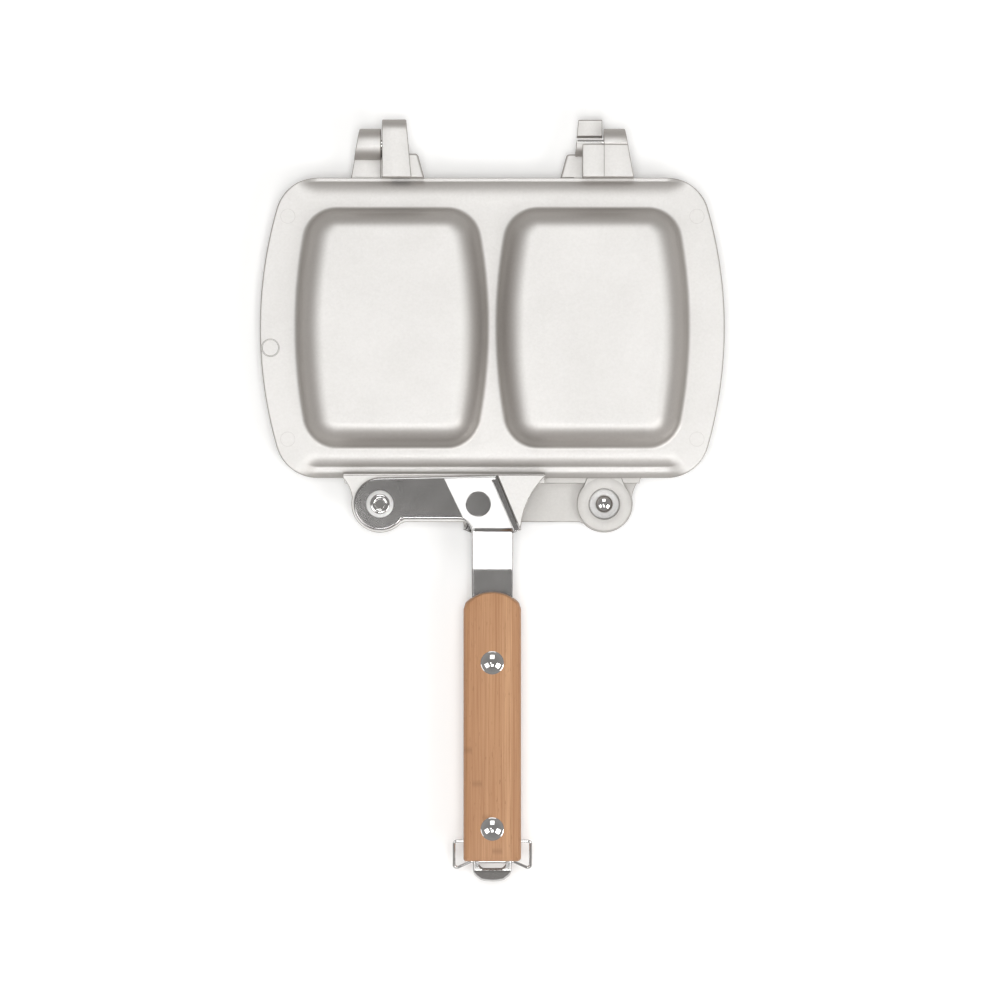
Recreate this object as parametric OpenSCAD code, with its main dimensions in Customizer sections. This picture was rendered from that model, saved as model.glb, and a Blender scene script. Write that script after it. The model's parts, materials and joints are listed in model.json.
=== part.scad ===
// Double hot-sandwich press: two identical cast pans that hook together,
// two folding handles with bamboo grips, and a wire bail that holds them shut.
// The pans and the handles are one shape each, used twice: the lower one is the
// upper one turned half a turn about the Y axis.

/* [Pan body] */
// Width of the pan across both pockets
pan_w = 239.6; // [225:0.5:290]
// Length of the pan, from handle edge to hinge edge
pan_l = 154.8; // [145:0.5:190]
// Radius of the bulged short sides
side_r = 222; // [160:1:400]
// Radius of the pan's four corners
corner_r = 22; // [12:0.5:30]
// Height of the flat margin above the parting plane
web_h = 5; // [4.4:0.1:7]
// Thickness of the cast walls
wall = 2.5; // [2:0.1:3]
// Width of the rim that meets the other pan, at the short sides
rim_w = 3; // [2.5:0.5:6]

/* [Pockets] */
// Width of one pocket at its base
pocket_w = 98.4; // [80:0.2:99]
// Length of one pocket at its base
pocket_l = 122.6; // [100:0.2:124]
// Flat valley left between the two pockets
valley_w = 5; // [3:0.5:10]
// Height of the pocket face above the parting plane
pocket_h = 19; // [17:0.5:24]
// Radius of the pocket's bulged sides
pocket_side_r = 270; // [180:1:500]
// Radius of the pocket's corners at the base
pocket_corner_r = 19; // [16:0.5:24]
// Lean of the pocket walls, from upright
wall_lean = 20; // [12:1:30]
// Fillet where the pocket wall meets the margin
pocket_fillet = 2.5; // [1.5:0.1:3.5]
// Soft shoulder between the pocket wall and its face
shoulder_r = 7; // [5:0.25:9]

/* [Stepped edges] */
// Height of the thin lip along both long edges
lip_h = 2; // [1.5:0.1:3]
// Width of that lip
lip_w = 3; // [1.5:0.1:4]
// Width of the slope from the lip up to the margin
step_w = 9.4; // [6:0.2:9.6]
// Half of the length of the stepped edge
step_half_l = 101.8; // [80:0.2:102]

/* [Handle lug] */
// Distance of each handle pivot from the middle of the pan
pivot_x = 57.8; // [50:0.2:64]
// Distance of the pivot from the pan's handle edge
pivot_drop = 13.4; // [12:0.2:18]
// Radius of the rounded lug
lug_r = 14.7; // [12:0.1:17]
// Height of the lug's outer face, on which the arm turns
lug_h = 8.6; // [7.5:0.1:10]
// Thickness of the lug's plate
lug_t = 3; // [2.5:0.1:4]
// Radius of the boss round the pivot, on the inner side
boss_r = 14.1; // [11:0.1:14.5]
// Half of the width of the neck between boss and pan
neck_half_w = 8.8; // [6:0.1:11]
// Height of the stop that the open handle rests against
stop_h = 12.6; // [11.5:0.1:14]

/* [Pan hinge] */
// Distance of the hinge axis from the pan's hinge edge
axis_gap = 17.3; // [16:0.1:22]
// Radius of the hinge pin
pin_r = 3.5; // [3:0.1:4.2]
// Outer radius of the pin's barrel
barrel_r = 8.1; // [7:0.1:8.2]
// Height of the hinge arms' outer faces
hinge_h = 8.3; // [8.2:0.1:9]
// Inner side of the hook arm, from the middle of the pan
hook_x = 43; // [38:0.5:44]
// Width of the hook arm
hook_w = 13.8; // [10:0.2:14]
// Reach of the hook past the hinge axis
hook_reach = 12.8; // [11.5:0.1:14]
// Width of the barrel that holds the pin
barrel_w = 11; // [8:0.2:12]
// Side gap between hook and barrel
barrel_gap = 2.2; // [1:0.1:3]
// Draft of the hook arm's side, in width
hook_draft = 1.4; // [0:0.1:2]

/* [Handle] */
// Thickness of the arm and its strip
strip_t = 1.8; // [1.4:0.1:2.4]
// Width of the strip
strip_w = 21.4; // [18:0.2:23]
// Radius of the arm's round end
arm_r = 13.7; // [11:0.1:14.5]
// Length of the handle's sloping shank
shank_l = 20; // [15:0.5:30]
// Height of the strip's inner face above the parting plane
strip_z = 5.3; // [5.3:0.1:6.5]
// Place of the strip's outer end
strip_end_y = -196.5; // [-230:0.5:-190]

/* [Grip] */
// Width of the bamboo grip
grip_w = 29.6; // [26:0.2:34]
// Thickness of the bamboo grip
grip_t = 9.4; // [8:0.2:10.2]
// Front end of the grip
grip_front_y = -47; // [-60:0.5:-45]
// Rear end of the grip
grip_rear_y = -185.3; // [-215:0.5:-180]
// Radius of the grip's rounded long edges
grip_edge_r = 3.2; // [2:0.1:4.5]
// Radius of the domed grip rivets
grip_rivet_r = 6; // [4.5:0.1:7]

/* [Bail] */
// Thickness of the bail wire
wire_d = 1.8; // [1.4:0.1:2.2]
// Distance of the bail's legs from the middle
bail_half_w = 19.8; // [18:0.2:24]
// Distance from the bail's pivot to its cross-bar
bail_reach = 11.9; // [11.4:0.1:14]
// Distance from the bail's pivot to the tips of its ears
bail_ears = 16.4; // [14:0.1:20]
// Angle of the parked bail below level
bail_park = 25; // [25:1:30]

/* [Clearances] */
// Gap between parts that slide on each other
slide_gap = 0.1; // [0.05:0.01:0.2]
// Radial gap round a turning pin
running_gap = 0.05; // [0.03:0.01:0.1]
// Gap between parts that only lie near each other
free_gap = 0.3; // [0.3:0.05:0.6]
// Extra half width of the hook's mouth, past the pin
mouth_gap = 0.3; // [0.2:0.05:0.5]
// Radial gap round a pin that is held fast
fixed_gap = 0.02; // [0.01:0.01:0.05]

/* [Hidden] */

cast_colour = [0.84, 0.83, 0.81];
steel_colour = [0.62, 0.62, 0.63];
bright_colour = [0.80, 0.80, 0.82];
bamboo_colour = [0.77, 0.58, 0.42];
round_fn = 64;
small = 0.01;
through = 1;

// Places along Y, counted from the middle of the model
edge_y = 11.6;
mid_y = edge_y + pan_l / 2;
hinge_edge_y = edge_y + pan_l;
axis_y = hinge_edge_y + axis_gap;
pivot = [-pivot_x, edge_y - pivot_drop];

// Outline of a barrel-shaped panel
corner_steps = 8;
side_steps = 8;

// Hollow shoulder of the lug
shoulder_plan_r = 17.4;
shoulder_in = 4.6;

// Stepped edge
step_corner_r = 10;
step_rings = 6;

// Pocket wall: a fillet, a leaning straight and a round shoulder
turn = 90 - wall_lean;
fillet_steps = 3;
shoulder_steps = 5;
wall_rise = pocket_h - web_h - (pocket_fillet + shoulder_r) * (1 - cos(turn));
pocket_inset = (pocket_fillet + shoulder_r) * sin(turn) + wall_rise * tan(wall_lean);
pocket_x = valley_w / 2 + pocket_w / 2;
// The end walls lean less than the side walls
end_share = 0.75;

// Pivot rivet and its washers
pivot_shank_r = 3.2;
pivot_hole_r = 2.3;
pivot_flange_r = 5.2;
pivot_flange_t = 0.7;
pivot_dome_r = 4.6;
pivot_dome_h = 2.2;
counterbore_r = 8;
washer_r = 7;
washer_t = 0.8;
spring_r = 7.6;
spring_t = 0.9;
counterbore_z = 4.4;
boss_face = 0.15;
arm_z = lug_h + slide_gap;
washer_z = arm_z + strip_t;
flange_z = washer_z + washer_t;

// Tail of the strip, behind the grip
tail_half = strip_w / 2 - 0.7;
tail_r = 22;
tail_bend_r = 6.5;
tail_bend_y = strip_end_y + 6.6;
tail_dip = 5;
window_half = 6.8;
window_l = 4.7;

// Grip rivets
front_rivet_y = grip_front_y - 36.3;
rear_rivet_y = grip_rear_y + 16.7;
grip_z = strip_z + strip_t;
grip_top = grip_z + grip_t;
rivet_shank_r = 2.4;
rivet_dome_h = 2.2;

// Bail pivot, in the sides of the upper grip
bail_y = grip_rear_y + 10.1;
bail_z = 9;
bail_socket = 5;
bail_bar_half = 11;
wire_r = wire_d / 2;
bail_bend = 1.6;

// Catch on the lower strip
catch_w = 12;
catch_t = 1.2;
catch_riser_y = bail_y - 1.8;
catch_lip_y = bail_y - 4.8;
catch_foot_y = bail_y + 4.2;
catch_lip_z = -0.6;
catch_rivet_r = 1.2;

// ---------------------------------------------------------------- shapes

// Points on an arc about c, from angle a0 to a1
function arc(c, r, a0, a1, steps) =
    [for (i = [0:steps]) c + r * [cos(a0 + (a1 - a0) * i / steps), sin(a0 + (a1 - a0) * i / steps)]];

// Angle at which a bulged side passes into its corner
function side_angle(half_w, half_h, r_side, r_corner) =
    asin((half_h - r_corner) / (r_side - r_corner));

// Closed outline with straight long edges, bulged short sides and round corners,
// about the origin; half_w and half_h are its greatest half sizes
function barrel(half_w, half_h, r_side, r_corner) =
    let (a = side_angle(half_w, half_h, r_side, r_corner),
         side_c = half_w - r_side,
         cx = side_c + (r_side - r_corner) * cos(a),
         cy = half_h - r_corner,
         side = arc([side_c, 0], r_side, -a, a, side_steps))
    concat(
        [for (i = [1:side_steps - 1]) side[i]],
        arc([cx, cy], r_corner, a, 90, corner_steps),
        arc([-cx, cy], r_corner, 90, 180 - a, corner_steps),
        [for (i = [1:side_steps - 1]) -side[i]],
        arc([-cx, -cy], r_corner, 180 + a, 270, corner_steps),
        arc([cx, -cy], r_corner, 270, 360 - a, corner_steps));

// Ring of the pocket: inset d from the base outline, at height z
function pocket_ring(d, z) =
    [for (p = barrel(pocket_w / 2 - d, pocket_l / 2 - d * end_share, pocket_side_r - d,
                     pocket_corner_r - d * end_share)) [p[0], p[1], z]];

// Inset and height of each ring, for the surface that lies t inside the outer one
function pocket_profile(t) = concat(
    [for (i = [0:fillet_steps]) let (a = turn * i / fillet_steps)
        [(pocket_fillet + t) * sin(a), web_h + pocket_fillet - (pocket_fillet + t) * cos(a)]],
    [for (i = [0:shoulder_steps]) let (a = turn * (1 - i / shoulder_steps))
        [pocket_inset - (shoulder_r - t) * sin(a), pocket_h - shoulder_r + (shoulder_r - t) * cos(a)]]);

// Closed solid through a stack of rings with the same number of points
module loft(rings) {
    n = len(rings[0]);
    m = len(rings);
    faces = concat(
        [[for (i = [0:n - 1]) i]],
        [for (k = [0:m - 2], i = [0:n - 1]) let (j = (i + 1) % n)
            [k * n + i, (k + 1) * n + i, k * n + j]],
        [for (k = [0:m - 2], i = [0:n - 1]) let (j = (i + 1) % n)
            [k * n + j, (k + 1) * n + i, (k + 1) * n + j]],
        [[for (i = [0:n - 1]) (m - 1) * n + n - 1 - i]]);
    polyhedron([for (ring = rings) each ring], faces);
}

// Pocket form, t inside the outer surface, with a straight foot of depth foot
module pocket(t, foot) {
    profile = pocket_profile(t);
    rings = concat([pocket_ring(profile[0][0], profile[0][1] - foot)],
        [for (k = [0:len(profile) - 1])
            pocket_ring(profile[k][0], profile[k][1] + (k == 0 ? small : 0))]);
    loft(rings);
}

module at_pockets() {
    for (side = [-1, 1]) translate([side * pocket_x, mid_y, 0]) children();
}

module at_pivot() { translate([pivot[0], pivot[1], 0]) children(); }

// Half a turn about the Y axis: the lower pan and handle
module turned() { rotate([0, 180, 0]) children(); }

// Everything stands on the lower pockets
module standing() { translate([0, 0, pocket_h]) children(); }

// Extrudes a profile drawn in Y and Z along X, from x0 to x1
module along_x(x0, x1) {
    translate([x0, 0, 0]) rotate([90, 0, 90]) linear_extrude(x1 - x0) children();
}

module rod_x(x0, x1, r) {
    translate([x0, 0, 0]) rotate([0, 90, 0]) cylinder(h = x1 - x0, r = r, $fn = round_fn);
}

// Domed head with a flat underside at z = 0
module dome(r, h) {
    ball = (r * r + h * h) / (2 * h);
    intersection() {
        translate([0, 0, h - ball]) sphere(r = ball, $fn = round_fn);
        cylinder(h = h + small, r = r, $fn = round_fn);
    }
}

// Path of 2D points with each inner corner rounded to radius bend
function heading(path, i) = (path[i + 1] - path[i]) / norm(path[i + 1] - path[i]);
function turn_at(path, i) =
    let (u = heading(path, i - 1), v = heading(path, i)) atan2(u[0] * v[1] - u[1] * v[0], u * v);
function rounded_corner(path, i, bend, steps) =
    let (u = heading(path, i - 1), turn = turn_at(path, i), side = sign(turn),
         start = path[i] - u * bend * tan(abs(turn) / 2),
         c = start + side * bend * [-u[1], u[0]],
         a0 = atan2(start[1] - c[1], start[0] - c[0]))
    arc(c, bend, a0, a0 + turn, steps);
function rounded_path(path, bend, steps) = concat([path[0]],
    [for (i = [1:len(path) - 2]) each rounded_corner(path, i, bend, steps)], [path[len(path) - 1]]);

// Wire swept along a flat path: each ring stands across the mean heading there
module bent_wire(path, r, sides) {
    last = len(path) - 1;
    rings = [for (i = [0:last])
        let (u = heading(path, max(i - 1, 0)), v = heading(path, min(i, last - 1)),
             mean = (u + v) / norm(u + v), across = [-mean[1], mean[0]] / (mean * v))
        [for (k = [0:sides - 1]) let (a = 360 * k / sides)
            [path[i][0] + across[0] * r * cos(a), path[i][1] + across[1] * r * cos(a), r * sin(a)]]];
    loft(rings);
}

// ---------------------------------------------------------------- pan

// Outline of the step, inset by d from where it meets the margin; y runs outwards
function step_ring(d, z) =
    let (r = step_corner_r - d, x = step_half_l - step_corner_r, y = pan_l / 2 - lip_w - step_w + step_corner_r)
    [for (p = concat(
        [[-x - r, pan_l / 2 + through]], arc([-x, y], r, 180, 270, 6),
        arc([x, y], r, 270, 360, 6), [[x + r, pan_l / 2 + through]])) [p[0], p[1], z]];

// Cutter that leaves the thin lip and a slope, steep at its foot, along one long edge
module step_cutter() {
    rise = web_h - lip_h;
    slope = [for (i = [0:step_rings]) let (u = 0.02 + 0.98 * i / step_rings)
        [step_w * (1 - u), lip_h + rise * (1 - pow(1 - u, 3))]];
    loft(concat([for (p = slope) step_ring(p[0], p[1])], [step_ring(0, web_h + through)]));
}

module pan_body() {
    difference() {
        translate([0, mid_y, 0]) linear_extrude(web_h)
            polygon(barrel(pan_w / 2, pan_l / 2, side_r, corner_r));
        for (end = [0, 180]) translate([0, mid_y, 0]) rotate([0, 0, end]) step_cutter();
    }
}

// Shallow pan inside: its rim is wider along the stepped edges
module pan_recess() {
    end_rim = lip_w + step_w + 0.6;
    translate([0, mid_y, -through]) linear_extrude(web_h - wall + through)
        polygon(barrel(pan_w / 2 - rim_w, pan_l / 2 - end_rim, side_r - rim_w, corner_r - rim_w));
}

// Marks that the mould's ejector pins leave on the margin
module ejector_marks() {
    mark_r = 3.9;
    mark_x = pan_w / 2 - 14.4;
    mark_y = pan_l / 2 - 20;
    for (sx = [-1, 1], sy = [-1, 1])
        translate([sx * mark_x, mid_y + sy * mark_y, web_h - 0.12])
            cylinder(h = 1, r = mark_r, $fn = round_fn);
    translate([5.5 - pan_w / 2, mid_y - 10.3, web_h - 0.3]) difference() {
        cylinder(h = 1, r = 4.6, $fn = round_fn);
        translate([0, 0, -1]) cylinder(h = 3, r = 3.9, $fn = round_fn);
    }
}

// Line of the stop: its foot at the pan edge and its outer end
stop_top = [2.6, edge_y + 1.6];
stop_tip = [14.4, -15.2];

// Hollow curve on the stop's far side, from the pan edge down to its tip
stop_back_c = [55.7, -17.1];
stop_back_r = 41.1;
stop_back = arc(stop_back_c, stop_back_r, 180 - asin((stop_top[1] - stop_back_c[1]) / stop_back_r), 177.4, 8);

// Plan of the plate that spans from the pivot to the stop, with a hollow shoulder
module lug_plan() {
    left = pivot[0] - lug_r;
    plate_y = -11.1;
    translate(pivot) circle(r = lug_r, $fn = round_fn);
    polygon(concat(
        [[pivot[0], plate_y], [stop_tip[0], plate_y]],
        [for (i = [0:len(stop_back) - 2]) stop_back[len(stop_back) - 2 - i]],
        [[left - shoulder_in, stop_top[1]]],
        arc([left - shoulder_plan_r + 0.4, -0.4], shoulder_plan_r, asin((edge_y + 0.4) / shoulder_plan_r), 7, 6),
        [[left + 0.4, pivot[1]]]));
}

// Plate that carries the handle, with its pivot boss and its stop
module lug() {
    root_w = 4;
    difference() {
        union() {
            translate([0, 0, lug_h - lug_t]) linear_extrude(lug_t) lug_plan();
            // root wall along the pan's edge
            linear_extrude(lug_h - small) intersection() {
                lug_plan();
                translate([-pan_w, edge_y - root_w + 1]) square([2 * pan_w, root_w - 0.2]);
            }
            // boss and flared neck reach the parting plane
            translate([pivot[0], pivot[1], boss_face])
                cylinder(h = lug_h - boss_face, r = boss_r, $fn = round_fn);
            translate([pivot[0], pivot[1], boss_face]) linear_extrude(lug_h - boss_face - small) polygon([
                [-boss_r + 0.4, 2], [boss_r - 0.4, 2],
                [neck_half_w, edge_y - pivot[1]], [-neck_half_w, edge_y - pivot[1]]]);
            // stop for the open handle
            translate([0, 0, lug_h - lug_t]) linear_extrude(stop_h - lug_h + lug_t)
                polygon(concat([stop_top, stop_tip],
                    [for (i = [0:len(stop_back) - 1]) stop_back[len(stop_back) - 1 - i]]));
        }
        at_pivot() {
            translate([0, 0, -through]) cylinder(h = lug_h + 2 * through,
                r = pivot_shank_r + running_gap, $fn = round_fn);
            translate([0, 0, -through]) cylinder(h = counterbore_z + through,
                r = counterbore_r, $fn = round_fn);
        }
    }
}

// Keeps what lies over a plan whose sides draw in from the pan edge to the tip:
// x0 and x1 are the sides at the pan, t0 and t1 at the tip
module drafted(x0, x1, t0, t1, tip) {
    intersection() {
        translate([0, 0, -20]) linear_extrude(40) polygon([
            [x0, -axis_gap - through], [x1, -axis_gap - through], [t1, tip], [t0, tip]]);
        children();
    }
}

// Open hook that turns on the other pan's pin
module hook_arm() {
    nose_r = hook_reach - 5.9;
    jaw_r = 6.3;
    lip_z = 0.8;
    left = -hook_x - hook_w;
    buttress_w = 7;
    difference() {
        union() {
            drafted(left, -hook_x + hook_draft, left, -hook_x - hook_draft, hook_reach + small) union() {
                along_x(left - through, -hook_x + 2) polygon(concat(
                    [[-axis_gap - through, free_gap], [0, lip_z], [hook_reach, lip_z]],
                    arc([hook_reach - nose_r, hinge_h - nose_r], nose_r, 0, 90, 8),
                    [[-axis_gap - through, hinge_h]]));
                rod_x(left - through, -hook_x + 2, jaw_r);
            }
            // foot of the arm spreads into a lower buttress
            drafted(left + 3, -hook_x + buttress_w + 1.2, left + 3, -hook_x + 1.6, -2)
                along_x(left + 1, -hook_x + 12) polygon(concat(
                    [[-axis_gap - through, free_gap], [-5.2, free_gap]],
                    arc([-8.2, 2.6], 3, 0, 80, 5), [[-axis_gap - through, 6.4]]));
        }
        rod_x(left - through, -hook_x + 2 * through, pin_r + running_gap);
        // mouth, down and outwards, a little wider than the pin
        rotate([-45, 0, 0]) translate([left - through, 0.4, -pin_r - mouth_gap])
            cube([hook_w + 4 * through, 2 * hook_reach, 2 * (pin_r + mouth_gap)]);
    }
}

// Barrel that holds this pan's own pin, and the web that stops the open lid
module barrel_arm() {
    inner = hook_x + hook_w + barrel_gap;
    outer = inner + barrel_w;
    web_left = hook_x + 3.4;
    relief_r = 6.6;
    relief_end = inner - barrel_gap + 2 * free_gap;
    difference() {
        drafted(web_left, outer + 3, web_left, outer - 1.6, barrel_r + small) union() {
            rod_x(inner, outer + 4, barrel_r);
            along_x(web_left - through, outer + 4) polygon([[-axis_gap - through, free_gap],
                [-free_gap, free_gap], [-free_gap, hinge_h], [-axis_gap - through, hinge_h]]);
        }
        rod_x(web_left - through, relief_end, relief_r);
        rod_x(relief_end - through, outer + 4, pin_r + fixed_gap);
    }
}

module pan() {
    difference() {
        union() {
            pan_body();
            at_pockets() pocket(0, 1.2);
        }
        pan_recess();
        at_pockets() pocket(wall, 2);
        ejector_marks();
    }
    lug();
    translate([0, axis_y, 0]) {
        hook_arm();
        barrel_arm();
    }
}

// Pin fixed in this pan's barrel, under the other pan's hook
module pan_pin() {
    outer = hook_x + hook_w + barrel_gap + barrel_w;
    translate([0, axis_y, 0]) rod_x(hook_x + 0.5, outer - 1.2, pin_r);
}

// ---------------------------------------------------------------- handle

// Flat arm, bent end and sloping shank of one sheet
module handle_arm() {
    half = strip_w / 2;
    slope_y = stop_tip[1];
    level_y = slope_y - shank_l;
    face = stop_top - stop_tip;
    // unit vector from the stop towards the arm
    away = [-face[1], face[0]] / norm(face) ;
    end_top = stop_top + away * free_gap;
    end_tip = stop_tip + away * free_gap;
    flange_w = strip_t * 1.9;
    difference() {
        union() {
            // arm
            translate([0, 0, arm_z]) linear_extrude(strip_t) union() {
                translate(pivot) circle(r = arm_r, $fn = round_fn);
                polygon([[pivot[0], pivot[1] + arm_r], [end_top[0], pivot[1] + arm_r], end_tip,
                    [-half, slope_y], [-half - 3, -11.2], [-half - 8, pivot[1] - arm_r + 5.7],
                    [pivot[0] + 11, pivot[1] - arm_r + 5.7], [pivot[0], pivot[1] - arm_r]]);
            }
            // end flange, bent up against the stop
            translate([0, 0, arm_z]) linear_extrude(stop_h - arm_z) polygon([
                end_top - [0, 1.6], end_tip, end_tip + away * flange_w,
                end_top - [0, 1.6] + away * flange_w]);
            // sloping shank and level strip
            along_x(-half, half) polygon([
                [slope_y + 1, arm_z], [slope_y + 1, arm_z + strip_t], [slope_y, arm_z + strip_t],
                [level_y, strip_z + strip_t], [grip_rear_y + 1, strip_z + strip_t],
                [grip_rear_y + 1, strip_z], [level_y, strip_z], [slope_y, arm_z]]);
            // tail: a hanging loop, round in plan, whose end bar dips
            intersection() {
                translate([0, 0, strip_z - tail_dip - strip_t]) linear_extrude(2 * strip_t + tail_dip)
                    polygon(concat(
                        [[tail_half, grip_rear_y + 2], [-tail_half, grip_rear_y + 2]],
                        arc([-tail_half + 5, strip_end_y + 6.4], 5, 180, 240, 4),
                        arc([0, strip_end_y + tail_r], tail_r, 254, 286, 6),
                        arc([tail_half - 5, strip_end_y + 6.4], 5, 300, 360, 4)));
                along_x(-half, half) polygon(concat(
                    arc([tail_bend_y, strip_z - tail_bend_r], tail_bend_r + strip_t, 90, 150, 6),
                    arc([tail_bend_y, strip_z - tail_bend_r], tail_bend_r, 150, 90, 6),
                    [[grip_rear_y + 2, strip_z], [grip_rear_y + 2, strip_z + strip_t]]));
            }
        }
        at_pivot() cylinder(h = 30, r = pivot_shank_r + running_gap, $fn = round_fn);
        for (y = [front_rivet_y, rear_rivet_y]) translate([0, y, 0])
            cylinder(h = 30, r = rivet_shank_r, $fn = 32);
        // window of the hanging loop
        linear_extrude(30) polygon(concat(
            [[window_half, grip_rear_y - 0.4], [-window_half, grip_rear_y - 0.4]],
            arc([-window_half + 2, grip_rear_y - window_l + 2], 2, 180, 250, 4),
            arc([window_half - 2, grip_rear_y - window_l + 2], 2, 290, 360, 4)));
        // plain dimple that clicks the arm in place
        translate([-7.2, -1.8, arm_z + strip_t - 0.35]) cylinder(h = 2, r = 6.2, $fn = round_fn);
    }
}

// Laminated bamboo block with a round front end and soft long edges
module grip() {
    half = grip_w / 2;
    crest = 7;
    nose_r = (half * half + crest * crest) / (2 * crest);
    nose_a = asin(half / nose_r);
    difference() {
        intersection() {
            translate([0, 0, grip_z]) linear_extrude(grip_t) polygon(concat(
                arc([0, grip_front_y - nose_r], nose_r, 90 - nose_a + 4, 90 + nose_a - 4, 12),
                [[-half, grip_front_y - crest - 1.5], [-half, grip_rear_y + 1.5], [-half + 1.5, grip_rear_y],
                    [half - 1.5, grip_rear_y], [half, grip_rear_y + 1.5], [half, grip_front_y - crest - 1.5]]));
            translate([0, grip_front_y + 1, 0]) rotate([90, 0, 0])
                linear_extrude(grip_front_y - grip_rear_y + 2) polygon(concat(
                    [[-half, grip_z], [half, grip_z]],
                    arc([half - grip_edge_r, grip_top - grip_edge_r], grip_edge_r, 0, 90, 6),
                    arc([-half + grip_edge_r, grip_top - grip_edge_r], grip_edge_r, 90, 180, 6)));
        }
        for (y = [front_rivet_y, rear_rivet_y]) translate([0, y, 0])
            cylinder(h = 30, r = rivet_shank_r, $fn = 32);
    }
}

module grip_rivet(y) {
    translate([0, y, 0]) {
        translate([0, 0, strip_z]) cylinder(h = grip_top - strip_z, r = rivet_shank_r, $fn = 32);
        translate([0, 0, grip_top]) dome(grip_rivet_r, rivet_dome_h);
    }
}

// Tubular rivet: domed head inside the boss, rolled flange on the washer
module pivot_rivet() {
    head_z = counterbore_z - spring_t;
    at_pivot() difference() {
        union() {
            translate([0, 0, head_z]) mirror([0, 0, 1]) dome(pivot_dome_r, pivot_dome_h);
            translate([0, 0, head_z]) cylinder(h = flange_z - head_z, r = pivot_shank_r, $fn = round_fn);
            translate([0, 0, flange_z]) cylinder(h = pivot_flange_t, r1 = pivot_flange_r,
                r2 = pivot_flange_r - 0.5, $fn = round_fn);
        }
        translate([0, 0, arm_z]) cylinder(h = 10, r = pivot_hole_r, $fn = round_fn);
    }
}

module ring(z, r, t, hole) {
    at_pivot() translate([0, 0, z]) difference() {
        cylinder(h = t, r = r, $fn = round_fn);
        translate([0, 0, -through]) cylinder(h = t + 2 * through, r = hole, $fn = round_fn);
    }
}

module pivot_washer() { ring(washer_z, washer_r, washer_t, pivot_shank_r + running_gap); }

// Dished washer that presses the arm on the lug
module spring_washer() {
    at_pivot() translate([0, 0, counterbore_z - spring_t]) difference() {
        cylinder(h = spring_t, r = spring_r, $fn = round_fn);
        translate([0, 0, -through]) cylinder(h = spring_t + 2 * through,
            r = pivot_shank_r + running_gap, $fn = round_fn);
    }
}

// ---------------------------------------------------------------- catch

// Wire bail, drawn flat with its pivot on the X axis and its ears towards -Y
module bail_wire() {
    inner = grip_w / 2 - bail_socket;
    bent_wire(rounded_path([[-inner, 0], [-bail_half_w, 0], [-bail_half_w, -bail_ears],
        [-bail_bar_half, -bail_reach], [bail_bar_half, -bail_reach],
        [bail_half_w, -bail_ears], [bail_half_w, 0], [inner, 0]], bail_bend, 4), wire_r, 10);
}

module latch_bail() {
    translate([0, bail_y, bail_z]) rotate([bail_park, 0, 0]) bail_wire();
}

// J-shaped catch on the lower strip, open towards the handle's end
module catch_hook() {
    foot_z = -strip_z;
    difference() {
        along_x(-catch_w / 2, catch_w / 2) polygon([
            [catch_foot_y, foot_z], [catch_riser_y - catch_t, foot_z],
            [catch_riser_y - catch_t, catch_lip_z], [catch_lip_y, catch_lip_z],
            [catch_lip_y, catch_lip_z + catch_t], [catch_riser_y, catch_lip_z + catch_t],
            [catch_riser_y, foot_z + catch_t], [catch_foot_y, foot_z + catch_t]]);
        translate([0, (catch_foot_y + catch_riser_y) / 2, foot_z - through])
            cylinder(h = catch_t + 2 * through, r = catch_rivet_r, $fn = 32);
    }
}

// Sockets for the ends of the bail, in the sides of the upper grip
module bail_sockets() {
    half = grip_w / 2;
    for (side = [0, 1]) mirror([side, 0, 0]) translate([0, bail_y, bail_z])
        rod_x(half - bail_socket - free_gap, half + through, wire_r + running_gap);
}

module catch_rivet_at() {
    translate([0, (catch_foot_y + catch_riser_y) / 2, 0]) children();
}

// ---------------------------------------------------------------- nodes

module top_plate() { color(cast_colour) standing() pan(); }
module bottom_plate() { color(cast_colour) standing() turned() pan(); }
module top_hinge_pin() { color(bright_colour) standing() pan_pin(); }
module bottom_hinge_pin() { color(bright_colour) standing() turned() pan_pin(); }
module top_handle_arm() { color(steel_colour) standing() handle_arm(); }

module bottom_handle_arm() {
    color(steel_colour) standing() difference() {
        turned() handle_arm();
        catch_rivet_at() translate([0, 0, -30]) cylinder(h = 30, r = catch_rivet_r, $fn = 32);
    }
}

module top_grip() {
    color(bamboo_colour) standing() difference() {
        grip();
        bail_sockets();
    }
}

module bottom_grip() {
    color(bamboo_colour) standing() turned() grip();
}

module top_front_grip_rivet() { color(bright_colour) standing() grip_rivet(front_rivet_y); }
module top_rear_grip_rivet() { color(bright_colour) standing() grip_rivet(rear_rivet_y); }
module bottom_front_grip_rivet() { color(bright_colour) standing() turned() grip_rivet(front_rivet_y); }
module bottom_rear_grip_rivet() { color(bright_colour) standing() turned() grip_rivet(rear_rivet_y); }
module top_pivot_rivet() { color(bright_colour) standing() pivot_rivet(); }
module bottom_pivot_rivet() { color(bright_colour) standing() turned() pivot_rivet(); }
module top_pivot_washer() { color(steel_colour) standing() pivot_washer(); }
module bottom_pivot_washer() { color(steel_colour) standing() turned() pivot_washer(); }
module top_spring_washer() { color(steel_colour) standing() spring_washer(); }
module bottom_spring_washer() { color(steel_colour) standing() turned() spring_washer(); }
module latch_bail_node() { color(bright_colour) standing() latch_bail(); }
module catch_hook_node() { color(steel_colour) standing() catch_hook(); }

module catch_hook_rivet() {
    color(bright_colour) standing() catch_rivet_at() {
        translate([0, 0, -strip_z - strip_t]) cylinder(h = strip_t + catch_t, r = catch_rivet_r, $fn = 32);
        translate([0, 0, -strip_z + catch_t]) dome(2.2, 0.8);
    }
}

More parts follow.
